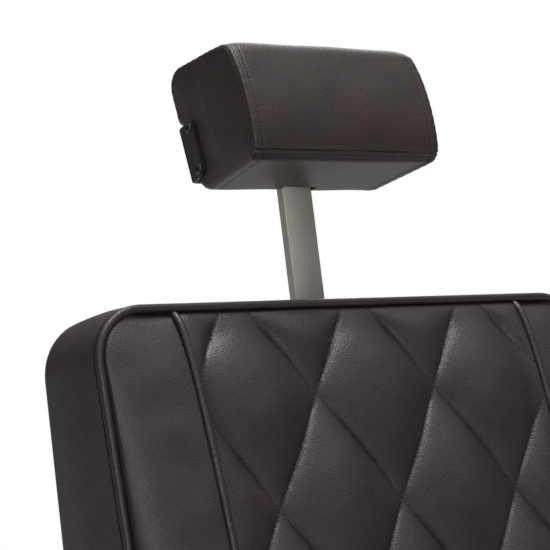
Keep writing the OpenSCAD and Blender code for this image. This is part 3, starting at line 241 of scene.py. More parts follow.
# Metalwork: a button screw's radius, height, socket radius and socket depth, and each node's broken edge
SCREW_HEAD = (5.25 * MM, 3 * MM, 2.3 * MM, 3.4 * MM)
SCREW_END = 1 * MM
SCREW_TOP = 0.1 * MM
WELD = 0.005 * MM
FLAT_ANGLE = math.radians(1)
EDGE_ANGLE = math.radians(35)
EDGES = {"head_bar": 1.6, "head_bracket": 0.7, "bar_sleeve": 1, "slot_collar": 0.8, "clamp_knob": 1.2,
         "back_upright_left": 1.2, "back_upright_right": 1.2, "back_cross_bars": 1, "hinge_brackets": 1.2,
         "seat_rail_left": 1.5, "seat_rail_right": 1.5, "cross_members": 1.2, "rail_caps": 1.2,
         "seat_board": 1, "arm_frame_left": 0.8, "arm_frame_right": 0.8, "arm_pad_boards": 1.5,
         "foot_tubes": 0.8, "foot_shaft": 0.8, "foot_plate": 1.2, "foot_mat": 1, "recline_shaft": 0.8,
         "shaft_collars": 0.8, "recline_lever": 1.4, "lever_grip": 2.5, "swivel_hub": 1, "hub_bolts": 0.6,
         "thrust_washer": 0.3, "piston_rod": 0.8, "pump_housing": 1, "pump_gland": 1, "pump_bolts": 0.6,
         "pedal_bracket": 1, "pedal_pin": 0.6, "pedal_arm": 2, "pedal_pad": 2.5, "base_plate": 1,
         "base_cover": 0.6, "floor_pad": 0.8}

# Rubber ribs, by node: the body, the gaps at their ends and beside the outer ones, and their radius
RIB_PITCH = 7 * MM
RIBBED = {"foot_mat": ("foot", 8 * MM, 7 * MM, 1.4 * MM), "pedal_pad": ("pedal", 7 * MM, 8 * MM, 1.2 * MM)}

# Camera and studio; each lamp is a name, a place and a power in watts
CAMERA_AT = (-1330.1 * MM, -1362.7 * MM, 1101.2 * MM)
CAMERA_HEADING = math.radians(36.74)
CAMERA_DIP = math.radians(1.62)
CAMERA_LENS = 147.43
CAMERA_SENSOR = 36
CAMERA_REACH = 60
LAMP_AIM = (0, 0.2, 0.85)
LAMP_SIZE = 2
LAMPS = (("top", (0, 0.3, 4.9), 138), ("left", (-2.4, -2.8, 2.2), 50), ("low_front", (0.8, -4, 0.7), 12),
         ("right", (1.7, -1.9, 3.9), 10), ("rear", (2.4, 3, 2.6), 38))
WORLD_FILL = 0.08
ROOM_DIM = 0.1
ROOM_PALE = 0.6
ROOM_BELOW = (0.05, -0.3)
ROOM_ABOVE = (0.3, 0.7)
FLOOR_RADIUS = 4.4
FLOOR_FADE_SHARES = (0.2, 0.95)
FLOOR_DROP = 0.2 * MM


def linear(hex_colour):
    """A colour written as sRGB hex, in linear light."""
    parts = [int(hex_colour[i:i + 2], 16) / 255 for i in (1, 3, 5)]
    return (*[c / 12.92 if c <= 0.04045 else ((c + 0.055) / 1.055) ** 2.4 for c in parts], 1)


def first_socket(source):
    """The socket itself, or a node's first output."""
    return source.outputs[0] if isinstance(source, bpy.types.Node) else source


def add(tree, kind, values=None, links=None, **settings):
    """A node with its settings, socket values and incoming links."""
    node = tree.nodes.new(kind)
    for name, value in settings.items():
        setattr(node, name, value)
    for key, value in (values or {}).items():
        node.inputs[key].default_value = value
    for key, source in (links or {}).items():
        tree.links.new(first_socket(source), node.inputs[key])
    return node


class Finish:
    """A material in the making: its node tree, its shader, and the patterns that vary it."""

    def __init__(self, name, colour, roughness, metallic=0.0):
        self.material = bpy.data.materials.new(name)
        self.material.use_nodes = True
        self.material.diffuse_color = linear(colour)
        self.tree = self.material.node_tree
        self.shader = self.tree.nodes["Principled BSDF"]
        self.where = add(self.tree, "ShaderNodeTexCoord").outputs["Object"]
        self.under = {}
        plain = {"Base Color": linear(colour), "Roughness": roughness, "Metallic": metallic}
        for socket, value in plain.items():
            self.shader.inputs[socket].default_value = value

    def feed(self, socket, source):
        """Lets a pattern drive one of the shader's inputs."""
        self.tree.links.new(first_socket(source), self.shader.inputs[socket])

    def pattern(self, size, values=None, stretch=(1, 1, 1), kind="ShaderNodeTexNoise", **settings):
        """A texture on the piece, its features of a real size in metres, stretched along the axes."""
        laid = add(self.tree, "ShaderNodeMapping", {"Scale": stretch}, {"Vector": self.where})
        return add(self.tree, kind, {"Scale": 1 / size, **(values or {})}, {"Vector": laid}, **settings)

    def tone(self, pattern, dark, light, low=0.35, high=0.65):
        """Base colour from dark to light, as a pattern rises from low to high."""
        share = add(self.tree, "ShaderNodeMapRange", {1: low, 2: high}, {0: pattern})
        mix = add(self.tree, "ShaderNodeMix", {6: linear(dark), 7: linear(light)}, {0: share},
                  data_type="RGBA")
        self.feed("Base Color", mix.outputs[2])

    def gloss(self, pattern, smooth, rough, low=0.3, high=0.7):
        """Roughness from smooth to rough, as a pattern rises from low to high."""
        self.feed("Roughness", add(self.tree, "ShaderNodeMapRange", {1: low, 2: high, 3: smooth, 4: rough},
                                   {0: pattern}))

    def relief(self, pattern, depth):
        """Presses a pattern into the surface to a depth, over what was pressed in before."""
        pressed = add(self.tree, "ShaderNodeBump", {"Distance": depth}, {"Height": pattern, **self.under})
        self.under = {"Normal": pressed}
        self.feed("Normal", pressed)


def faux_leather(name, dark, light, roughness, crease):
    """Polyurethane-coated cloth, embossed with a pebble: a soft sheen broken up by the grain.

    The real grain is about 1 mm and is drawn three times as coarse, so that it shows.
    """
    skin = Finish(name, dark, roughness)
    pebble = skin.pattern(2.8 * MM, kind="ShaderNodeTexVoronoi", feature="DISTANCE_TO_EDGE")
    fine = skin.pattern(0.9 * MM, {"Detail": 2})
    folds = skin.pattern(22 * MM, {"Detail": 3, "Distortion": 0.6})
    skin.tone(skin.pattern(45 * MM, {"Detail": 4}), dark, light)
    skin.gloss(fine, roughness - 0.05, roughness + 0.07)
    skin.relief(folds, crease)
    skin.relief(add(skin.tree, "ShaderNodeMapRange", {2: 0.35}, {0: pebble}), 0.14 * MM)
    skin.relief(fine, 0.05 * MM)
    return skin.material


def brushed_metal(name, colour, roughness, lines, along):
    """Steel brushed along one axis: long fine scratches that spread the gloss across them."""
    steel = Finish(name, colour, roughness, 1.0)
    scratches = steel.pattern(lines, {"Detail": 3}, [0.02 if axis == along else 1 for axis in "XYZ"])
    cloud = steel.pattern(30 * MM, {"Detail": 2})
    worn = add(steel.tree, "ShaderNodeMapRange", {1: 0.3, 2: 0.7, 3: -0.06, 4: 0.08}, {0: scratches})
    even = add(steel.tree, "ShaderNodeMapRange", {1: 0.3, 2: 0.7, 3: roughness - 0.03, 4: roughness + 0.03},
               {0: cloud})
    steel.feed("Roughness", add(steel.tree, "ShaderNodeMath", links={0: worn, 1: even}, operation="ADD"))
    steel.relief(scratches, 0.01 * MM)
    return steel.material


def spun_metal(name, colour, roughness, lines):
    """Stainless sheet spun on a lathe: fine rings that draw the gloss out round the middle."""
    dish = Finish(name, colour, roughness, 1.0)
    dish.shader.inputs["Anisotropic"].default_value = 0.5
    dish.feed("Tangent", add(dish.tree, "ShaderNodeTangent", direction_type="RADIAL", axis="Z"))
    flat = add(dish.tree, "ShaderNodeMapping", {"Scale": (1, 1, 0)}, {"Vector": dish.where})
    reach = add(dish.tree, "ShaderNodeVectorMath", links={0: flat}, operation="LENGTH")
    rings = add(dish.tree, "ShaderNodeTexNoise", {"Scale": 1 / lines, "Detail": 3},
                {"W": reach.outputs["Value"]}, noise_dimensions="1D")
    dish.gloss(rings, roughness - 0.05, roughness + 0.06)
    dish.relief(rings, 0.02 * MM)
    return dish.material


def coated_metal(name, dark, light, roughness):
    """Powder-coated steel: an even orange-peel skin, a little worn and dusty."""
    coat = Finish(name, dark, roughness)
    cloud = coat.pattern(50 * MM, {"Detail": 4})
    coat.tone(cloud, dark, light, 0.4, 0.7)
    coat.gloss(cloud, roughness - 0.05, roughness + 0.06)
    coat.relief(coat.pattern(1.6 * MM, {"Detail": 2}), 0.08 * MM)
    return coat.material


def polished_metal(name, colour, roughness):
    """Chrome plate, zinc plate or burnished bronze: near a mirror, with faint smears."""
    plate = Finish(name, colour, roughness, 1.0)
    smear = plate.pattern(40 * MM, {"Detail": 5, "Distortion": 1.0})
    plate.gloss(smear, roughness, roughness + 0.07, 0.35, 0.75)
    return plate.material


def moulded(name, dark, light, roughness, texture):
    """Moulded rubber or plastic: a fine spark-eroded texture that dulls its gloss."""
    skin = Finish(name, dark, roughness)
    spark = skin.pattern(texture, {"Detail": 3})
    skin.tone(skin.pattern(30 * MM, {"Detail": 3}), dark, light)
    skin.gloss(spark, roughness - 0.06, roughness + 0.06)
    skin.relief(spark, 0.12 * MM)
    return skin.material


def birch_ply(name, dark, light):
    """Birch plywood: a veneer with long pale grain, open enough to feel."""
    veneer = Finish(name, dark, 0.62)
    grain = veneer.pattern(4 * MM, {"Detail": 4, "Distortion": 0.4}, (0.06, 1, 1))
    veneer.tone(grain, dark, light, high=0.7)
    veneer.relief(grain, 0.1 * MM)
    return veneer.material


def twisted_thread(name, dark, light):
    """Bonded polyester thread: a tight twist, a shade lighter than the cover, kept dark so that its colour
    also paints the shade of the stitch holes.
    """
    strand = Finish(name, dark, 0.6)
    strand.tone(strand.pattern(1.2 * MM, {"Detail": 1}), dark, light)
    return strand.material


def start_tree(name, sizes, finish):
    """A Geometry Nodes group with named inputs: a mesh, its sizes, and the material of what it makes."""
    tree = bpy.data.node_groups.new(name, "GeometryNodeTree")
    kinds = {"Geometry": "Geometry", **{size: "Float" for size in sizes}, finish: "Material"}
    for label, kind in kinds.items():
        tree.interface.new_socket(label, in_out="INPUT", socket_type=f"NodeSocket{kind}")
    tree.interface.new_socket("Geometry", in_out="OUTPUT", socket_type="NodeSocketGeometry")
    return tree, add(tree, "NodeGroupInput").outputs


def end_tree(tree, made, finish):
    """Makes a group's instances real, gives them their material, and hands them out."""
    real = add(tree, "GeometryNodeRealizeInstances", links={0: made})
    clad = add(tree, "GeometryNodeSetMaterial", links={"Geometry": real, "Material": finish})
    add(tree, "NodeGroupOutput", links={0: clad})
    return tree


def stitch_tree():
    """Geometry nodes that lay thread stitches along edges, each a slim capsule."""
    tree, given = start_tree("Stitching", ("Pitch", "Stitch length", "Thread diameter"), "Thread")
    curve = add(tree, "GeometryNodeMeshToCurve", links={0: given["Geometry"]})
    even = add(tree, "GeometryNodeResampleCurve", links={"Curve": curve, "Length": given["Pitch"]},
               mode="LENGTH")
    ball = add(tree, "GeometryNodeMeshUVSphere", {"Segments": 6, "Rings": 4, "Radius": 0.5})
    size = add(tree, "ShaderNodeCombineXYZ", links={
        0: given["Thread diameter"], 1: given["Thread diameter"], 2: given["Stitch length"]})
    tangent = add(tree, "GeometryNodeInputTangent")
    turn = add(tree, "FunctionNodeAlignRotationToVector", links={"Vector": tangent}, axis="Z")
    laid = add(tree, "GeometryNodeInstanceOnPoints", links={
        "Points": even, "Instance": ball, "Rotation": turn, "Scale": size})
    return end_tree(tree, laid, given["Thread"])


def screw_tree():
    """Geometry nodes that set a button-head screw with a hexagon socket at each point."""
    tree, given = start_tree("Button screws", ("Head radius", "Head height", "Socket radius", "Socket depth"),
                             "Steel")
    dome = add(tree, "GeometryNodeMeshUVSphere", {"Segments": 24, "Rings": 12, "Radius": 1})
    size = add(tree, "ShaderNodeCombineXYZ", links={
        0: given["Head radius"], 1: given["Head radius"], 2: given["Head height"]})
    head = add(tree, "GeometryNodeTransform", links={"Geometry": dome, "Scale": size})
    hexagon = add(tree, "GeometryNodeMeshCylinder", {"Vertices": 6}, {
        "Radius": given["Socket radius"], "Depth": given["Socket depth"]})
    lift = add(tree, "ShaderNodeCombineXYZ", links={2: given["Head height"]})
    key = add(tree, "GeometryNodeTransform", links={"Geometry": hexagon, "Translation": lift})
    screw = add(tree, "GeometryNodeMeshBoolean", links={0: head, 1: key}, operation="DIFFERENCE")
    points = add(tree, "GeometryNodeMeshToPoints", links={0: given["Geometry"]})
    axis = add(tree, "GeometryNodeInputNamedAttribute", {"Name": "axis"}, data_type="FLOAT_VECTOR")
    turn = add(tree, "FunctionNodeAlignRotationToVector", links={"Vector": axis}, axis="Z")
    laid = add(tree, "GeometryNodeInstanceOnPoints", links={
        "Points": points, "Instance": screw, "Rotation": turn})
    return end_tree(tree, laid, given["Steel"])


def rib_tree():
    """Geometry nodes that lay a round rib along each edge, half sunk in what it lies on."""
    tree, given = start_tree("Ribs", ("Rib radius",), "Rubber")
    curve = add(tree, "GeometryNodeMeshToCurve", links={0: given["Geometry"]})
    section = add(tree, "GeometryNodeCurvePrimitiveCircle", {"Resolution": 12},
                  {"Radius": given["Rib radius"]}, mode="RADIUS")
    rod = add(tree, "GeometryNodeCurveToMesh", {"Fill Caps": True}, {
        "Curve": curve, "Profile Curve": section})
    return end_tree(tree, rod, given["Rubber"])


# Finishes, each named for what the real one is
LEATHER = faux_leather("faux_leather_espresso", "#2c2425", "#342a2c", 0.44, 0.4 * MM)
LEATHER_QUILT = faux_leather("faux_leather_quilted", "#2a2021", "#332728", 0.42, 0.4 * MM)
LEATHER_HEAD = faux_leather("faux_leather_headrest", "#2a1f1f", "#342625", 0.42, 0.4 * MM)
PIPING = faux_leather("faux_leather_piping", "#2a2322", "#2e2726", 0.4, 0.2 * MM)
# The thread's own tone near the cover's, kept dark as painted shade of the stitch holes beside each stitch
THREAD_AND_HOLE_SHADE = twisted_thread("polyester_thread_and_hole_shade", "#2b221f", "#382d29")
RUBBER = moulded("moulded_rubber", "#191919", "#202020", 0.7, 0.8 * MM)
SLOT_FINISH = {
    "bar_steel": brushed_metal("satin_nickel_bar", "#cbc5bd", 0.5, 0.6 * MM, "Z"),
    "tube_steel": brushed_metal("satin_nickel_tube", "#c4beb6", 0.36, 0.8 * MM, "X"),
    "dish_steel": spun_metal("spun_stainless_dish", "#cfd0d0", 0.36, 1.2 * MM),
    "chrome": polished_metal("chrome_plate", "#c9cbcd", 0.08),
    "bolt_steel": polished_metal("zinc_plated_steel", "#8f9091", 0.3),
    "bronze": polished_metal("sintered_bronze", "#a9834f", 0.32),
    "black_steel": coated_metal("powder_coated_steel", "#1a1a1a", "#202020", 0.42),
    "black_plastic": moulded("moulded_nylon", "#171717", "#1c1c1c", 0.45, 0.6 * MM),
    "plywood": birch_ply("birch_plywood", "#b8935f", "#d8bd90"),
    "stained_plywood": birch_ply("stained_plywood", "#1f1a17", "#2b2420"),
    "rubber_pad": RUBBER,
    "faux_leather": LEATHER,
    "piping": PIPING}
FINISH_SLOT = {finish: slot for slot, finish in SLOT_FINISH.items()}
FINISH_SLOT.update({LEATHER_QUILT: "faux_leather", LEATHER_HEAD: "faux_leather", THREAD_AND_HOLE_SHADE: "piping"})
NODE_FINISH = {part["node"]: SLOT_FINISH[part["material_slot"]] for part in frame["record"]["subparts"]}
STITCHING = stitch_tree()
SCREWS = screw_tree()
RIBS = rib_tree()


def put_object(name, mesh, material, body, angle):
    """Puts a finished mesh in the scene on its body, shaded smooth up to an angle."""
    mesh.validate()
    mesh.materials.clear()
    mesh.materials.append(material)
    mesh.shade_smooth()
    mesh.set_sharp_from_angle(angle=math.radians(angle))
    piece = bpy.data.objects.new(name, mesh)
    bpy.context.scene.collection.objects.link(piece)
    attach(piece, body)
    return piece


def put_mesh(name, points, faces, matrix, material, body, angle):
    """A closed piece from local points, placed by a matrix, with its faces pointed outwards."""
    mesh = bpy.data.meshes.new(name)
    mesh.from_pydata([tuple(p) for p in points], [], faces)
    mesh.transform(matrix)
    piece = put_object(name, mesh, material, body, angle)
    work = bmesh.new()
    work.from_mesh(mesh)
    bmesh.ops.remove_doubles(work, verts=work.verts, dist=SAME_SPOT)
    bmesh.ops.recalc_face_normals(work, faces=work.faces)
    work.to_mesh(mesh)
    work.free()
    return piece


def put_loft(name, loops, material, body, angle=50):
    """Closed skin through loops of equal count, with its ends filled."""
    count = len(loops[0])
    points = [p for loop in loops for p in loop]
    faces = []
    for a in range(0, len(points) - count, count):
        b = a + count
        faces += [(a + k, a + (k + 1) % count, b + (k + 1) % count, b + k) for k in range(count)]
    faces.append(tuple(range(count)))
    faces.append(tuple(range(len(points) - count, len(points))))
    return put_mesh(name, points, faces, Matrix.Identity(4), material, body, angle)


def put_piping(name, path, matrix, body, closed=False, sides=12):
    """A round cord of piping along a path."""
    count = len(path)
    points = []
    normal = None
    for k, point in enumerate(path):
        ahead = path[(k + 1) % count] if closed or k + 1 < count else point
        behind = path[k - 1] if closed or k else point
        tangent = (ahead - behind).normalized()
        if normal is None:
            normal = tangent.orthogonal().normalized()
        normal = (normal - tangent * normal.dot(tangent)).normalized()
        other = tangent.cross(normal)
        for s in range(sides):
            angle = 2 * math.pi * s / sides
            points.append(point + CORD_R * (math.cos(angle) * normal + math.sin(angle) * other))
    faces = []
    for k in range(count if closed else count - 1):
        a = k * sides
        b = (k + 1) % count * sides
        faces += [(a + s, b + s, b + (s + 1) % sides, a + (s + 1) % sides) for s in range(sides)]
    if not closed:
        faces += [tuple(range(sides)), tuple(range((count - 1) * sides, count * sides))]
    return put_mesh(name, points, faces, matrix, PIPING, body, 60)


def stuffed(piece, node):
    """Hides the CAD node that a padded piece stands for."""
    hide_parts(node)


def grown(mesh, name, tree, inputs, material, body, angle=60):
    """Runs a geometry tree over a mesh and keeps the result as a plain mesh."""
    carrier = bpy.data.objects.new(name, mesh)
    bpy.context.scene.collection.objects.link(carrier)
    modifier = carrier.modifiers.new("Grow", "NODES")
    modifier.node_group = tree
    for item in tree.interface.items_tree:
        if item.in_out == "INPUT" and item.name in inputs:
            modifier[item.identifier] = inputs[item.name]
        elif item.in_out == "INPUT" and item.socket_type == "NodeSocketMaterial":
            modifier[item.identifier] = material
    result = bpy.data.meshes.new_from_object(carrier.evaluated_get(bpy.context.evaluated_depsgraph_get()))
    bpy.data.objects.remove(carrier)
    return put_object(name, result, material, body, angle)


def sew(name, rows, body):
    """Stitches of thread along rows of points."""
    points, edges = [], []
    for row in rows:
        start = len(points)
        points += row
        edges += [(start + k, start + k + 1) for k in range(len(row) - 1)]
    mesh = bpy.data.meshes.new(name)
    mesh.from_pydata([tuple(p) for p in points], edges, [])
    sizes = {"Pitch": STITCH_PITCH, "Stitch length": STITCH_SHARE * STITCH_PITCH, "Thread diameter": THREAD}
    grown(mesh, name, STITCHING, sizes, THREAD_AND_HOLE_SHADE, body)


def take_shape(piece):
    """Makes the piece's evaluated shape its own mesh, and clears its modifiers."""
    mesh = bpy.data.meshes.new_from_object(piece.evaluated_get(bpy.context.evaluated_depsgraph_get()))
    old = piece.data
    piece.modifiers.clear()
    piece.data = mesh
    bpy.data.meshes.remove(old)
    mesh.name = piece.name


def box_cutter(low, high):
    """A box to cut with, by its lowest and highest corners."""
    work = bmesh.new()
    bmesh.ops.create_cube(work, size=1)
    for vert in work.verts:
        vert.co = Vector([a + (b - a) * (c + 0.5) for a, b, c in zip(low, high, vert.co)])
    return work


def round_cutter(middle, radius, length):
    """A cylinder along Y to cut with."""
    work = bmesh.new()
    bmesh.ops.create_cone(work, cap_ends=True, segments=48, radius1=radius, radius2=radius, depth=length)
    bmesh.ops.transform(work, matrix=Matrix.Translation(middle) @ Matrix.Rotation(math.pi / 2, 4, "X"),
                        verts=work.verts)
    return work


def hollow(piece, cutters, matrix):
    """Cuts each cutter, placed by a matrix, out of a closed piece."""
    for work in cutters:
        mesh = bpy.data.meshes.new("hollow")
        work.to_mesh(mesh)
        work.free()
        mesh.transform(matrix)
        cutter = bpy.data.objects.new("hollow", mesh)
        bpy.context.scene.collection.objects.link(cutter)
        cut = piece.modifiers.new("Cut", "BOOLEAN")
        cut.operation = "DIFFERENCE"
        cut.solver = "EXACT"
        cut.object = cutter
        take_shape(piece)
        bpy.data.objects.remove(cutter)
        bpy.data.meshes.remove(mesh)


def waves(x, y, size, seed, count=9):
    """Smooth unevenness between about -1 and 1, of a wavelength, the same on every run."""
    rng = np.random.default_rng(seed)
    total = np.zeros(np.broadcast(x, y).shape)
    for _ in range(count):
        heading = rng.uniform(0, 2 * np.pi)
        length = size * rng.uniform(0.7, 1.5)
        phase = rng.uniform(0, 2 * np.pi)
        along = x * np.cos(heading) + y * np.sin(heading)
        total = total + np.sin(2 * np.pi * along / length + phase)
    return total / math.sqrt(count)


class RoundedRectangle:
    """A rectangle with rounded corners, in across and up, as points from the middle of its top."""

    def __init__(self, half, low, high, upper, lower, spacing=8 * MM, turns=14):
        def line(a, b):
            steps = max(1, int(round((b - a).length / spacing)))
            return [a.lerp(b, k / steps) for k in range(steps)]

        def arc(middle, radius, start):
            return [middle + radius * Vector((math.cos(a), math.sin(a)))
                    for a in (math.radians(start - 90 * k / turns) for k in range(turns))]

        self.half, self.low, self.high, self.upper, self.lower = half, low, high, upper, lower
        top, bottom = half - upper, half - lower
        self.points = line(Vector((0, high)), Vector((top, high)))
        self.points += arc(Vector((top, high - upper)), upper, 90)
        self.points += line(Vector((half, high - upper)), Vector((half, low + lower)))
        self.points += arc(Vector((bottom, low + lower)), lower, 0)
        self.points += line(Vector((bottom, low)), Vector((-bottom, low)))
        self.points += arc(Vector((-bottom, low + lower)), lower, -90)
        self.points += line(Vector((-half, low + lower)), Vector((-half, high - upper)))
        self.points += arc(Vector((-top, high - upper)), upper, 180)
        self.points += line(Vector((-top, high)), Vector((0, high)))

    def inset(self, distance):
        """Its points moved square to its edge, inwards."""
        moved = []
        for p in self.points:
            radius = self.upper if p.y > (self.low + self.high) / 2 else self.lower
            out = Vector((p.x - min(max(p.x, radius - self.half), self.half - radius),
                          p.y - min(max(p.y, self.low + radius), self.high - radius)))
            moved.append(p - out.normalized() * distance)
        return moved


class PaddedFace:
    """The quilted and banded face of the back or the seat: its sizes, its place and its pieces."""

    def __init__(self, body, length, bulge, upper, lower, matrix, seed):
        self.body = body
        self.length = length
        self.bulge = bulge
        self.upper = upper
        self.lower = lower
        self.matrix = matrix
        self.seed = seed

    def rise(self, down):
        """Height of the padding over the piping's plane."""
        down = np.clip(down, 0, self.length)
        edge = (1 - np.exp(-down / EDGE_SOFT)) * (1 - np.exp(-(self.length - down) / EDGE_SOFT))
        return EDGE_CROWN * edge + self.bulge * np.sin(np.pi * (down / self.length) ** BULGE_SHARE)

    def end_dip(self, down, depth, reach):
        """How far a piece is pulled down where it is sewn at the face's two ends."""
        return depth * (np.exp(-(down / reach) ** 2) + np.exp(-((self.length - down) / reach) ** 2))

    def stitch_lines(self, x, down):
        """A point's place across the two families of stitch lines, which run at whole numbers."""
        u = x / DIAMOND_W
        v = down / DIAMOND_H - FIRST_ROW_SHARE
        return u + v + 0.5, u - v + 0.5

    def quilt_rise(self, x, down):
        """Height of the quilting: pillows that meet in stitched channels, puckered by the thread."""
        rising, falling = self.stitch_lines(x, down)
        near = [np.abs(np.sin(np.pi * family)) for family in (rising, falling)]
        edge = np.minimum(QUILT_HALF - np.abs(x), np.minimum(down - CORD_R, self.length - CORD_R - down))
        fade = np.clip(edge / QUILT_EDGE, 0, 1)
        pillow = (near[0] * near[1]) ** QUILT_ROUND
        width = DIAMOND_W / math.hypot(1, DIAMOND_W / DIAMOND_H)
        pucker = 0
        for family, other, offset in ((near[0], falling, 1), (near[1], rising, 2)):
            gap = family * width / np.pi
            along = other * DIAMOND_W / 1.2
            drift = 2 * waves(x, down, PUCKER_DRIFT_WAVE, self.seed + offset)
            depth = (0.5 + 0.5 * waves(x, down, PUCKER_DEPTH_WAVE, self.seed + 5 + offset)) * PUCKER
            ripple = depth * np.sin(2 * np.pi * along / PUCKER_PITCH + drift)
            pucker = pucker + ripple * np.exp(-gap / PUCKER_REACH) * (1 - np.exp(-gap / PUCKER_START))
        uneven = (QUILT_UNEVEN * waves(x, down, QUILT_WAVE, self.seed)
                  + QUILT_FINE_UNEVEN * waves(x, down, QUILT_FINE_WAVE, self.seed + 9))
        rise = self.rise(down) - self.end_dip(down, EDGE_DIP, EDGE_DIP_REACH)
        return rise + fade * (QUILT_PUFF * pillow - QUILT_SINK + pucker + uneven * (0.3 + 0.7 * pillow))

    def put_pad(self, name, across, down, height, diagonals, material, node):
        """A closed pad over a grid of places on the face, with walls down to its flat rear.

        diagonals says which way each cell is cut in two; without it the cells stay whole.
        """
        nx, nd = height.shape
        faces = []
        for i in range(nx - 1):
            for j in range(nd - 1):
                a = i * nd + j
                b, c, d = a + nd, a + nd + 1, a + 1
                if diagonals is None:
                    faces.append((a, b, c, d))
                elif diagonals[i, j]:
                    faces += [(a, b, d), (b, c, d)]
                else:
                    faces += [(a, b, c), (a, c, d)]
        rim = ([(0, j) for j in range(nd)] + [(i, nd - 1) for i in range(1, nx)]
               + [(nx - 1, j) for j in range(nd - 2, -1, -1)] + [(i, 0) for i in range(nx - 2, 0, -1)])
        first = nx * nd
        count = len(rim)
        for k, (i, j) in enumerate(rim):
            after = (k + 1) % count
            next_i, next_j = rim[after]
            faces.append((i * nd + j, next_i * nd + next_j, first + after, first + k))
        faces.append(tuple(range(first + count - 1, first - 1, -1)))
        top = np.stack([across, -height, -down], axis=-1).reshape(-1, 3)
        low = np.array([[across[i, j], CORD_R, -down[i, j]] for i, j in rim])
        piece = put_mesh(name, np.concatenate([top, low]), faces, self.matrix, material, self.body, 75)
        stuffed(piece, node)

    def quilted_panel(self):
        """The diamond-quilted middle, on a grid that its stitch lines run through."""
        step = DIAMOND_W / 2 / QUILT_CELLS
        row = DIAMOND_H / 2 / QUILT_CELLS
        columns = int((QUILT_HALF - step / 4) / step)
        xs = np.array([-QUILT_HALF, *(np.arange(-columns, columns + 1) * step), QUILT_HALF])
        end = self.length - SEAM_IN
        first = FIRST_ROW_SHARE * DIAMOND_H
        rows = np.arange(first - row * int(first / row), end, row)
        downs = np.array([SEAM_IN, *[d for d in rows if SEAM_IN + row / 2 < d < end - row / 4], end])
        across, down = np.meshgrid(xs, downs, indexing="ij")
        rising, falling = self.stitch_lines((xs[1:] + xs[:-1])[:, None] / 2, (downs[1:] + downs[:-1]) / 2)
        diagonals = np.abs(np.sin(np.pi * rising)) < np.abs(np.sin(np.pi * falling))
        self.put_pad(f"{self.body}_quilt_cover", across, down, self.quilt_rise(across, down), diagonals,
                     LEATHER_QUILT, f"{self.body}_quilt")

    def quilt_stitches(self):
        """The quilting thread, laid in the channels."""
        downs = np.linspace(SEAM_IN, self.length - SEAM_IN, 260)
        v = downs / DIAMOND_H - FIRST_ROW_SHARE
        rows = []
        for direction in (1, -1):
            for k in range(-6, 7):
                xs = (k - 0.5 - direction * v) * DIAMOND_W
                keep = np.abs(xs) < QUILT_HALF - SEAM_GAP
                if keep.sum() < 4:
                    continue
                heights = self.quilt_rise(xs[keep], downs[keep]) + THREAD_PROUD
                rows.append([self.matrix @ Vector((x, -h, -d))
                             for x, h, d in zip(xs[keep], heights, downs[keep])])
        sew(f"{self.body}_quilt_stitches", rows, self.body)

    def band_edge(self, down):
        """How far out a side band reaches at a distance down, round its corners."""
        insets = []
        for radius, gone in ((self.upper, down), (self.lower, self.length - down)):
            into = np.clip(radius - gone, 0, radius)
            insets.append(radius - np.sqrt(np.maximum(0, (radius - CORD_R) ** 2 - into ** 2)) - CORD_R)
        return HALF_WIDTH - SEAM_IN - np.maximum(*insets)

    def side_bands(self):
        """The two smooth bands beside the quilted panel."""
        share = np.linspace(0, 1, 150)
        downs = SEAM_IN + (self.length - 2 * SEAM_IN) * (share * 0.6 + 0.4 * (1 - np.cos(np.pi * share)) / 2)
        spans = np.sin(np.pi / 2 * np.linspace(0, 1, 26))[:, None]
        inner = INNER_X + SEAM_IN
        outer = self.band_edge(downs)
        across = inner + spans * (outer - inner)
        down = np.broadcast_to(downs, across.shape)
        lean = np.sqrt(np.maximum(0, 1 - ((across - INNER_X) / (outer + CORD_R - INNER_X)) ** 2.4))
        shoulder = BAND_SHOULDER * (np.exp(-down / BAND_SHOULDER_REACH)
                                    + np.exp((down - self.length) / BAND_SHOULDER_REACH))
        rise = self.rise(down) - self.end_dip(down, EDGE_DIP, EDGE_DIP_REACH) - shoulder
        for side, hand in ((-1, "left"), (1, "right")):
            soft = BAND_SOFT * waves(across * 0.6, down, BAND_WAVE, self.seed + side) * np.sin(np.pi * spans)
            self.put_pad(f"{self.body}_band_cover_{hand}", across * side, down, rise * lean + soft, None,
                         LEATHER, f"{self.body}_bands")

    def pipings(self):
        """The closed loop of piping round the face, and the two lengths beside the quilting."""
        loop = RoundedRectangle(HALF_WIDTH, -self.length, 0, self.upper, self.lower)
        outer = put_piping(f"{self.body}_outer_piping", [Vector((p.x, 0, p.y)) for p in loop.points],
                           self.matrix, self.body, closed=True, sides=16)
        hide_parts(f"{self.body}_pipings")
        downs = np.linspace(CORD_R, self.length - CORD_R, 190)
        heights = self.rise(downs) - self.end_dip(downs, PIPING_DIVE, PIPING_DIVE_REACH)
        for side, hand in ((-1, "left"), (1, "right")):
            path = [Vector((side * INNER_X, -h, -d)) for h, d in zip(heights, downs)]
            put_piping(f"{self.body}_inner_piping_{hand}", path, self.matrix, self.body)


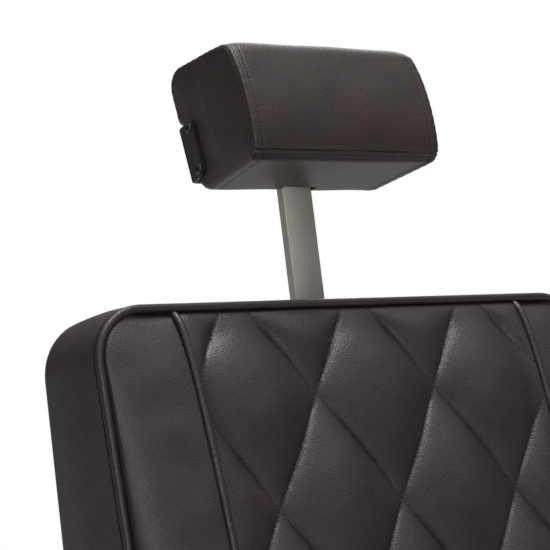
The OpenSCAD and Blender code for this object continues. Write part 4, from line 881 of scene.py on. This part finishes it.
def boxed_core(face, low, high, rear_frame, deep, rounding, swell=0):
    """The boxed side of the back or the seat, from under the piping of its face to its rounded rear edge.

    low and high are where the rear edge lies in its own frame, and deep is how far behind the frame.
    """
    def box(low, high):
        return RoundedRectangle(HALF_WIDTH + CORD_R, low, high, face.upper + CORD_R, face.lower + CORD_R)

    rear = box(low, high)
    start = [face.matrix @ Vector((p.x, CORD_R, p.y)) for p in box(-face.length - CORD_R, CORD_R).points]
    edge = [rear_frame @ Vector((p.x, deep - rounding, p.y)) for p in rear.points]
    loops = [[a.lerp(b, k / CORE_STEPS) for a, b in zip(start, edge)] for k in range(CORE_STEPS + 1)]
    if swell:
        swell_loops(loops, swell)
    for angle in (math.pi / 2 * k / ROUND_STEPS for k in range(1, ROUND_STEPS + 1)):
        ring = rear.inset(rounding * (1 - math.cos(angle)))
        y = deep - rounding * (1 - math.sin(angle))
        loops.append([rear_frame @ Vector((p.x, y, p.y)) for p in ring])
    stuffed(put_loft(f"{face.body}_core_cover", loops, LEATHER, face.body), f"{face.body}_core")


def swell_loops(loops, swell):
    """Swells loops a little between the first and the last, square to Y, and makes them slightly uneven."""
    middle = sum(loops[0], Vector()) / len(loops[0])
    for i, loop in enumerate(loops[1:-1], 1):
        share = math.sin(math.pi * i / (len(loops) - 1))
        for k, p in enumerate(loop):
            out = Vector((p.x - middle.x, 0, p.z - middle.z)).normalized()
            bend = float(waves(p.x + p.y, p.z + 0.7 * p.y, CORE_WAVE, SEED))
            loop[k] = p + out * share * (swell + CORE_UNEVEN * bend)


def rounded_path(corners, radii, steps=24):
    """Points round a closed outline with rounded corners, from the end of the first one's arc."""
    count = len(corners)
    arcs = []
    for k, (corner, radius) in enumerate(zip(corners, radii)):
        corner = Vector(corner)
        before = (Vector(corners[k - 1]) - corner).normalized()
        after = (Vector(corners[(k + 1) % count]) - corner).normalized()
        half = before.angle(after) / 2
        middle = corner + (before + after).normalized() * radius / math.sin(half)
        start = corner + before * radius / math.tan(half) - middle
        turn = math.pi - 2 * half
        side = math.copysign(1, before.x * after.y - before.y * after.x)
        arcs.append([middle + start @ Matrix.Rotation(side * turn * i / steps, 2) for i in range(steps + 1)])
    points = arcs[0][-1:] + [p for arc in arcs[1:] for p in arc] + arcs[0]
    return np.array([tuple(p) for p in points])


class Outline:
    """A closed outline, read by the distance along it from a start, which is given from its first point."""

    def __init__(self, points, start):
        self.points = points
        self.start = start
        steps = np.linalg.norm(np.diff(points, axis=0), axis=1)
        self.along = np.concatenate([[0], np.cumsum(steps)])
        self.length = self.along[-1]

    def point(self, where):
        """The point at a distance from the first one."""
        where = np.mod(where, self.length)
        return np.stack([np.interp(where, self.along, self.points[:, i]) for i in range(2)], axis=-1)

    def at(self, distance):
        """The point at a distance from the start, and the direction out of the outline there."""
        where = distance + self.start
        slope = self.point(where + SLOPE_STEP) - self.point(where - SLOPE_STEP)
        slope /= np.linalg.norm(slope, axis=-1, keepdims=True)
        return self.point(where), np.stack([-slope[..., 1], slope[..., 0]], axis=-1)


HEAD_OUTLINE = Outline(rounded_path([(0, -HEAD_DROP), (0, HEAD_FRONT), (HEAD_DEPTH, HEAD_REAR),
                                     (HEAD_DEPTH, HEAD_STEP[1]), (HEAD_BACK, HEAD_STEP[0]), (HEAD_BACK, 0)],
                                    HEAD_RADII), -HEAD_SEAM_LOW)


def head_half(y):
    """Half of the headrest's width at a distance behind its front."""
    return HEAD_HALF - HEAD_TAPER * y / HEAD_DEPTH


def head_swell(share, y, z):
    """How far the filling pushes the headrest's front out, fading towards its rear and its side seams."""
    up = np.clip((z + HEAD_DROP) / HEAD_CROWN_REACH, 0, 1) ** 0.9
    ends = 1 - np.abs(share) ** 6 / 10
    return HEAD_CROWN * np.clip(1 - y / HEAD_DEPTH, 0, 1) ** 2 * ends * np.sin(np.pi * up) ** 0.7


def head_ripple(along, x, around, seed):
    """Small creases that a seam pulls into the headrest's cover."""
    drift = 2.5 * waves(x, around, HEAD_RIPPLE_WAVE, seed)
    return HEAD_RIPPLE * np.sin(2 * np.pi * along / HEAD_RIPPLE_PITCH + drift)


def head_band(share, around, back=0.0):
    """Places on the headrest's wrap-over panel.

    share is the part of the way from its middle to the side seam, around is the distance round the side
    outline from the lower front seam, and back is how far the panel turns in at its edge.
    """
    point, out = HEAD_OUTLINE.at(around)
    corner = np.exp(-(point[..., 0] ** 2 + (point[..., 1] - HEAD_FRONT) ** 2) / HEAD_CORNER_REACH ** 2)
    inward = np.asarray(back) + HEAD_CORNER_PULL * corner * np.abs(share) ** 16
    point = point - out * inward[..., None]
    y, z = point[..., 0], point[..., 1]
    swollen = y - head_swell(share, y, z)
    past = np.mod(around, HEAD_OUTLINE.length)
    gap = np.minimum(past, HEAD_OUTLINE.length - past)
    width = head_half(swollen) - HEAD_EDGE
    x = share * width
    from_edge = (1 - np.abs(share)) * width
    top = HEAD_TOP_CROWN * np.clip((z - 0.9 * HEAD_FRONT) / (HEAD_REAR - HEAD_FRONT), 0, 1)
    lift = top * np.clip(1 - y / HEAD_DEPTH, 0, 1) * (1 - np.abs(share) ** 4)
    lift = lift - SEAM_SINK * np.exp(-(gap / SEAM_WIDTH) ** 2)
    lift = lift - STITCH_SINK * np.exp(-((gap - TOPSTITCH) / SEAM_WIDTH) ** 2)
    lift = lift - STITCH_SINK * np.exp(-((from_edge - SIDE_TOPSTITCH) / SEAM_WIDTH) ** 2)
    lift = lift + (head_ripple(x, x, around, SEED + 50) * np.exp(-gap / HEAD_CREASE_REACH)
                   * (1 - np.exp(-gap / HEAD_CREASE_START)))
    lift = lift + head_ripple(around, x, around, SEED + 51) * np.exp(-from_edge / HEAD_SIDE_CREASE)
    soft = HEAD_SOFT * waves(x, around, HEAD_SOFT_WAVE, SEED + 52)
    behind = np.clip((HEAD_BACK - y) / HEAD_SOFT_REAR, 0, 1)
    lift = lift + soft * behind * np.clip(from_edge / HEAD_SOFT_SIDE, 0, 1)
    return np.stack([x, swollen + out[..., 0] * lift, z + out[..., 1] * lift], axis=-1)


def clear_of_flange(y, z):
    """1 where a side of the headrest may bulge, down to 0 where the bracket's flange lies on it."""
    share = np.clip(np.maximum(FLANGE_NEAR - y, z - FLANGE_TOP) / FLANGE_FADE, 0, 1)
    return share * share * (3 - 2 * share)


def head_side(side, around):
    """Loops of a domed side of the headrest, from its middle out to the wrap-over panel."""
    count = len(around)
    middle = np.array([HEAD_BACK / 2, (HEAD_FRONT - HEAD_DROP) / 2])
    loops = []
    for k in HEAD_SIDE_SHARES:
        rim = head_band(np.full(count, side), around, np.full(count, HEAD_EDGE))
        flat = middle + k * (rim[:, 1:] - middle)
        clear = clear_of_flange(flat[:, 0], flat[:, 1])
        dome = HEAD_DOME * (1 - k ** 2) ** 0.75 * clear
        uneven = waves(flat[:, 0], flat[:, 1], HEAD_SIDE_WAVE, SEED + 60 + side)
        soft = HEAD_SIDE_SOFT * uneven * clear * (1 - k)
        loops.append(np.column_stack([side * (head_half(flat[:, 0]) + dome + soft), flat]))
    for angle in np.radians(np.linspace(90, 0, 15)):
        back = HEAD_EDGE * (1 - math.cos(angle))
        back += 0.8 * SEAM_SINK * math.exp(-(HEAD_EDGE * (angle - HEAD_SIDE_SEAM) / SEAM_WIDTH) ** 2)
        ring = head_band(np.full(count, side), around, np.full(count, back))
        ring[:, 0] += side * HEAD_EDGE * math.sin(angle)
        loops.append(ring)
    return loops


def head_cushion():
    """The headrest's cover: one panel wrapped over front, top, rear and underside, and two domed sides."""
    near = HEAD_SEAM_STEPS
    rest = np.linspace(near[-1], HEAD_OUTLINE.length - near[-1], 150)
    around = np.concatenate([near[:-1], rest, HEAD_OUTLINE.length - near[:0:-1]])
    half = np.concatenate([np.linspace(0, 0.88, 24), 0.88 + 0.12 * np.linspace(0, 1, 21)[1:-1]])
    spans = np.concatenate([-half[:0:-1], half])
    loops = head_side(-1, around)
    loops += [head_band(np.full(len(around), span), around) for span in spans]
    loops += head_side(1, around)[::-1]
    placed = [[IN_HEAD @ Vector(p) for p in loop] for loop in loops]
    piece = put_loft("head_cushion_cover", placed, LEATHER_HEAD, "head", 60)
    hollow(piece, [box_cutter(low, high) for low, high in HEAD_HOLLOWS], IN_HEAD)
    stuffed(piece, "head_cushion")


def head_stitches():
    """Topstitching beside the headrest's seams."""
    along = np.linspace(-1, 1, 160) * 0.985
    rows = [head_band(along, np.full(len(along), d)) for d in (TOPSTITCH, -TOPSTITCH)]
    around = np.linspace(1.5 * TOPSTITCH, HEAD_OUTLINE.length - 1.5 * TOPSTITCH, 300)
    share = 1 - SIDE_TOPSTITCH / (head_half(HEAD_OUTLINE.at(around)[0][:, 0]) - HEAD_EDGE)
    rows += [head_band(side * share, around) for side in (-1, 1)]
    sew("head_stitches", [[IN_HEAD @ Vector(p) for p in row] for row in rows], "head")


def rear_panel():
    """The flat vinyl panel that closes the rear of the back, turned over its edge and topstitched."""
    def ring(inset, y):
        return [Vector((p.x, y, p.y)) for p in edge.inset(inset)]

    edge = RoundedRectangle(PANEL_HALF, PANEL_LOW, PANEL_TOP, *PANEL_R)
    loops = [ring(inset, BACK_REAR - deep) for inset, deep in PANEL_PROFILE]
    rim = loops[-1]
    middle = sum(rim, Vector()) / len(rim)
    for k in PANEL_RINGS:
        flat = [middle + k * (p - middle) for p in rim]
        for p in flat:
            near = math.exp(-((p.z - CLAMP_Z) ** 2 + p.x ** 2) / CLAMP_FLAT ** 2)
            p.y += PANEL_SOFT * (1 - near) * float(waves(p.x, p.z, PANEL_WAVE, SEED + 70))
        loops.append(flat)
    piece = put_loft("rear_panel_cover", [[IN_BACK @ p for p in loop] for loop in loops], LEATHER, "back")
    hollow(piece, [round_cutter((0, BACK_REAR, CLAMP_Z), CLAMP_HOLE_R, CLAMP_HOLE_LONG)], IN_BACK)
    stuffed(piece, "back_panel")
    row = [IN_BACK @ p for p in ring(PANEL_STITCH, BACK_REAR + PANEL_THREAD_PROUD)]
    sew("rear_panel_stitches", [row + row[:1]], "back")


def filled(piece, held, cap):
    """Cloth simulation of a stuffed cover: it swells where it isn't held, and no point moves past the cap."""
    mesh = piece.data
    flat = np.empty(3 * len(mesh.vertices))
    mesh.vertices.foreach_get("co", flat)
    before = flat.reshape(-1, 3).copy()
    group = piece.vertex_groups.new(name="held")
    group.add([int(k) for k in np.nonzero(held(before))[0]], 1.0, "REPLACE")
    stuffing = piece.modifiers.new("Stuffing", "CLOTH")
    cloth = stuffing.settings
    cloth.mass = CLOTH_MASS
    cloth.use_pressure = True
    cloth.uniform_pressure_force = CLOTH_PRESSURE
    cloth.vertex_group_mass = "held"
    cloth.effector_weights.gravity = 0
    stuffing.point_cache.frame_start = 1
    stuffing.point_cache.frame_end = CLOTH_FRAMES
    for frame_number in range(1, CLOTH_FRAMES + 1):
        bpy.context.scene.frame_set(frame_number)
    swollen = piece.evaluated_get(bpy.context.evaluated_depsgraph_get())
    swollen.data.vertices.foreach_get("co", flat)
    piece.modifiers.remove(stuffing)
    piece.vertex_groups.clear()
    bpy.context.scene.frame_set(1)
    move = flat.reshape(-1, 3) - before
    furthest = np.linalg.norm(move, axis=1).max()
    after = before + move * min(1, cap / furthest)
    mesh.vertices.foreach_set("co", after.ravel())
    mesh.update()


def arm_pad_held(spots):
    """Where an arm pad's cover can't swell: on its board, and along the sewn line round its side."""
    rise = spots[:, 2] - ARM_PAD_BASE
    return (rise < ARM_PAD_HELD) | (np.abs(rise - ARM_PAD_STITCH[1]) < ARM_PAD_SEWN)


def arm_pad(side, name):
    """One arm pad: a cover drawn down over foam, crowned on top and tucked under at the board."""
    edge = RoundedRectangle(ARM_PAD_HALF, -ARM_PAD_LONG, ARM_PAD_LONG, ARM_PAD_CORNER, ARM_PAD_CORNER, 6 * MM)
    straight = ARM_PAD_LONG - ARM_PAD_HALF
    loops = [[Vector((p.x, p.y, rise)) for p in edge.inset(inset)] for inset, rise in ARM_PAD_PROFILE]
    rim = loops[-1]
    for k in ARM_PAD_RINGS:
        loop = []
        for p in rim:
            spine = Vector((0, max(-straight, min(straight, p.y)), p.z))
            inner = spine + k * (p - spine)
            inner.z = rim[0].z + (ARM_PAD_TALL - rim[0].z) * (1 - k ** 2.2)
            loop.append(inner)
        loops.append(loop)
    for loop in loops:
        for p in loop:
            soft = ARM_PAD_SOFT * float(waves(p.x + 0.4 * p.z, p.y, ARM_PAD_WAVE, SEED + 80 + side))
            p.z += soft * min(1, p.z / ARM_PAD_SOFT_RISE)
    where = Vector((side * ARM_X, ARM_MIDDLE_Y, ARM_PAD_BASE))
    piece = put_loft(name, [[where + p for p in loop] for loop in loops], LEATHER, "seat")
    filled(piece, arm_pad_held, ARM_PAD_SWELL)
    stuffed(piece, "arm_pads")
    inset, rise = ARM_PAD_STITCH
    row = [where + Vector((p.x, p.y, rise)) for p in edge.inset(inset)]
    sew(name + "_stitches", [row + row[:1]], "seat")


def merged(node):
    """A CAD node's mesh with its loose triangles joined, to work on."""
    work = bmesh.new()
    work.from_mesh(frame["nodes"][node].data)
    bmesh.ops.remove_doubles(work, verts=work.verts, dist=WELD)
    return work


def screw_places(node):
    """Where each screw of a node has its head: the middle of the head's top, and the way it faces."""
    work = merged(node)
    places = []
    left = set(work.verts)
    while left:
        group, edge = set(), {left.pop()}
        while edge:
            group |= edge
            edge = {e.other_vert(v) for v in edge for e in v.link_edges} - group
        left -= group
        points = np.array([tuple(v.co) for v in sorted(group, key=lambda v: v.index)])
        middle = points.mean(0)
        axis = np.linalg.eigh(np.cov((points - middle).T))[1][:, -1]
        along = (points - middle) @ axis
        off = np.linalg.norm(points - middle - along[:, None] * axis, axis=1)
        ends = off[along > along.max() - SCREW_END].max(), off[along < along.min() + SCREW_END].max()
        axis = axis if ends[0] > ends[1] else -axis
        along = (points - middle) @ axis
        top = points[along > along.max() - SCREW_TOP]
        places.append((Vector((top.min(0) + top.max(0)) / 2), Vector(axis)))
    work.free()
    return sorted(places, key=lambda place: tuple(place[0]))


def button_screws(node):
    """A node's screws with button heads, standing for the node."""
    radius, height, socket, depth = SCREW_HEAD
    places = screw_places(node)
    mesh = bpy.data.meshes.new(node + "_places")
    mesh.from_pydata([tuple(top - height * axis) for top, axis in places], [], [])
    facing = mesh.attributes.new("axis", "FLOAT_VECTOR", "POINT")
    facing.data.foreach_set("vector", [c for _, axis in places for c in axis])
    sizes = {"Head radius": radius, "Head height": height, "Socket radius": socket, "Socket depth": depth}
    body = frame["nodes"][node]["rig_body"]
    piece = grown(mesh, node + "_heads", SCREWS, sizes, NODE_FINISH[node], body, 35)
    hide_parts(node)


def ribs(node, body, side_gap, end_gap, radius):
    """Cross ribs over a rubber pad's top."""
    low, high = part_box(node)
    count = int((high.y - low.y - 2 * end_gap) / RIB_PITCH) + 1
    first = (low.y + high.y) / 2 - RIB_PITCH * (count - 1) / 2
    points, edges = [], []
    for k in range(count):
        y = first + k * RIB_PITCH
        points += [(low.x + side_gap, y, high.z), (high.x - side_gap, y, high.z)]
        edges.append((2 * k, 2 * k + 1))
    mesh = bpy.data.meshes.new(node)
    mesh.from_pydata(points, edges, [])
    grown(mesh, node + "_ribs", RIBS, {"Rib radius": radius}, RUBBER, body)


def dressed(node, width):
    """A CAD node's shape with its hard edges rounded, standing for the node."""
    work = merged(node)
    bmesh.ops.dissolve_limit(work, angle_limit=FLAT_ANGLE, verts=work.verts, edges=work.edges)
    mesh = bpy.data.meshes.new(node + "_dressed")
    work.to_mesh(mesh)
    work.free()
    piece = put_object(node + "_dressed", mesh, NODE_FINISH[node], frame["nodes"][node]["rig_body"], 30)
    edge = piece.modifiers.new("Edge", "BEVEL")
    edge.width = width
    edge.segments = 2
    edge.limit_method = "ANGLE"
    edge.angle_limit = EDGE_ANGLE
    take_shape(piece)
    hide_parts(node)


def camera_and_light():
    """Camera at the photograph's angle, and soft studio light."""
    lens = bpy.data.cameras.new("camera")
    lens.sensor_width = CAMERA_SENSOR
    lens.lens = CAMERA_LENS
    lens.clip_end = CAMERA_REACH
    camera = bpy.data.objects.new("camera", lens)
    camera.location = CAMERA_AT
    camera.rotation_euler = (math.pi / 2 - CAMERA_DIP, 0, -CAMERA_HEADING)
    bpy.context.scene.collection.objects.link(camera)
    bpy.context.scene.camera = camera
    for name, place, power in LAMPS:
        light = bpy.data.lights.new(name, "AREA")
        light.shape = "RECTANGLE"
        light.size = light.size_y = LAMP_SIZE
        light.energy = power
        lamp = bpy.data.objects.new(name, light)
        lamp.location = place
        lamp.rotation_euler = (Vector(LAMP_AIM) - Vector(place)).to_track_quat("-Z", "Y").to_euler()
        bpy.context.scene.collection.objects.link(lamp)
    bpy.context.scene.view_settings.view_transform = "Standard"


def studio_world():
    """White to the camera. To reflections, a room that is pale below and above and dimmer between."""
    world = bpy.data.worlds.new("studio")
    bpy.context.scene.world = world
    world.use_nodes = True
    tree = world.node_tree
    tree.nodes.clear()
    seen = add(tree, "ShaderNodeLightPath").outputs
    around = add(tree, "ShaderNodeTexCoord").outputs["Generated"]
    where = add(tree, "ShaderNodeSeparateXYZ", links={0: around})
    below, above = (add(tree, "ShaderNodeMapRange", {1: start, 2: end}, {0: where.outputs["Z"]})
                    for start, end in (ROOM_BELOW, ROOM_ABOVE))
    pale = add(tree, "ShaderNodeMath", links={0: below, 1: above}, operation="MAXIMUM")
    room = add(tree, "ShaderNodeMapRange", {3: ROOM_DIM, 4: ROOM_PALE}, {0: pale})
    plain = (1, 1, 1, 1)
    sheen = add(tree, "ShaderNodeBackground", {"Color": plain}, {"Strength": room})
    white = add(tree, "ShaderNodeBackground", {"Color": plain, "Strength": 1})
    fill = add(tree, "ShaderNodeBackground", {"Color": plain, "Strength": WORLD_FILL})
    gloss = add(tree, "ShaderNodeMixShader", links={0: seen["Is Glossy Ray"], 1: fill, 2: sheen})
    mix = add(tree, "ShaderNodeMixShader", links={0: seen["Is Camera Ray"], 1: gloss, 2: white})
    add(tree, "ShaderNodeOutputWorld", links={0: mix})


def pale_floor():
    """A round floor that keeps the object's shadow and fades into the white."""
    work = bmesh.new()
    bmesh.ops.create_circle(work, cap_ends=True, segments=96, radius=FLOOR_RADIUS)
    mesh = bpy.data.meshes.new("floor")
    work.to_mesh(mesh)
    work.free()
    paint = Finish("pale_floor", "#f2f1ef", 0.7)
    reach = add(paint.tree, "ShaderNodeVectorMath", links={0: paint.where}, operation="LENGTH")
    start, end = (share * FLOOR_RADIUS for share in FLOOR_FADE_SHARES)
    fade = add(paint.tree, "ShaderNodeMapRange", {1: start, 2: end}, {0: reach.outputs["Value"]})
    clear = add(paint.tree, "ShaderNodeBsdfTransparent")
    mix = add(paint.tree, "ShaderNodeMixShader", links={0: fade, 1: paint.shader, 2: clear})
    paint.tree.links.new(mix.outputs[0], paint.tree.nodes["Material Output"].inputs["Surface"])
    mesh.materials.append(paint.material)
    floor = bpy.data.objects.new("floor", mesh)
    floor.location.z = -FLOOR_DROP
    bpy.context.scene.collection.objects.link(floor)


camera_and_light()
studio_world()
pale_floor()

# Back and seat
BACK = PaddedFace("back", BACK_LENGTH, BACK_BULGE, CORNER_BIG, CORNER_SMALL, BACK_FACE, SEED)
SEAT = PaddedFace("seat", SEAT_LENGTH, SEAT_BULGE, CORNER_SMALL, CORNER_BIG, SEAT_FACE, SEED + 30)
BACK_CORE = (BACK_LIFT - CORD_R, BACK_TOP.z + 0.75 * CORD_R, IN_BACK, BACK_REAR - REAR_PANEL_SUNK,
             BACK_ROUND, CORE_SWELL)
SEAT_CORE = (-SEAT_LENGTH - CORD_R, CORD_R, SEAT_FACE, SEAT_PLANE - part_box("seat_core")[0].z, SEAT_ROUND)
for face, core in ((BACK, BACK_CORE), (SEAT, SEAT_CORE)):
    face.quilted_panel()
    face.side_bands()
    boxed_core(face, *core)
    face.pipings()
    face.quilt_stitches()

# Headrest and screws
head_cushion()
head_stitches()
for node in ("head_screws", "frame_screws"):
    button_screws(node)

# Rear panel, arm pads, named for the sitter's left and right, and rubber
rear_panel()
arm_pad(-1, "arm_pad_right")
arm_pad(1, "arm_pad_left")
for node, sizes in RIBBED.items():
    ribs(node, *sizes)

# Metal and moulded pieces with their edges broken
for node, width in EDGES.items():
    dressed(node, width * MM)

# Finishes of the nodes that stay
for node, piece in frame["nodes"].items():
    piece.data.materials.clear()
    piece.data.materials.append(NODE_FINISH[node])
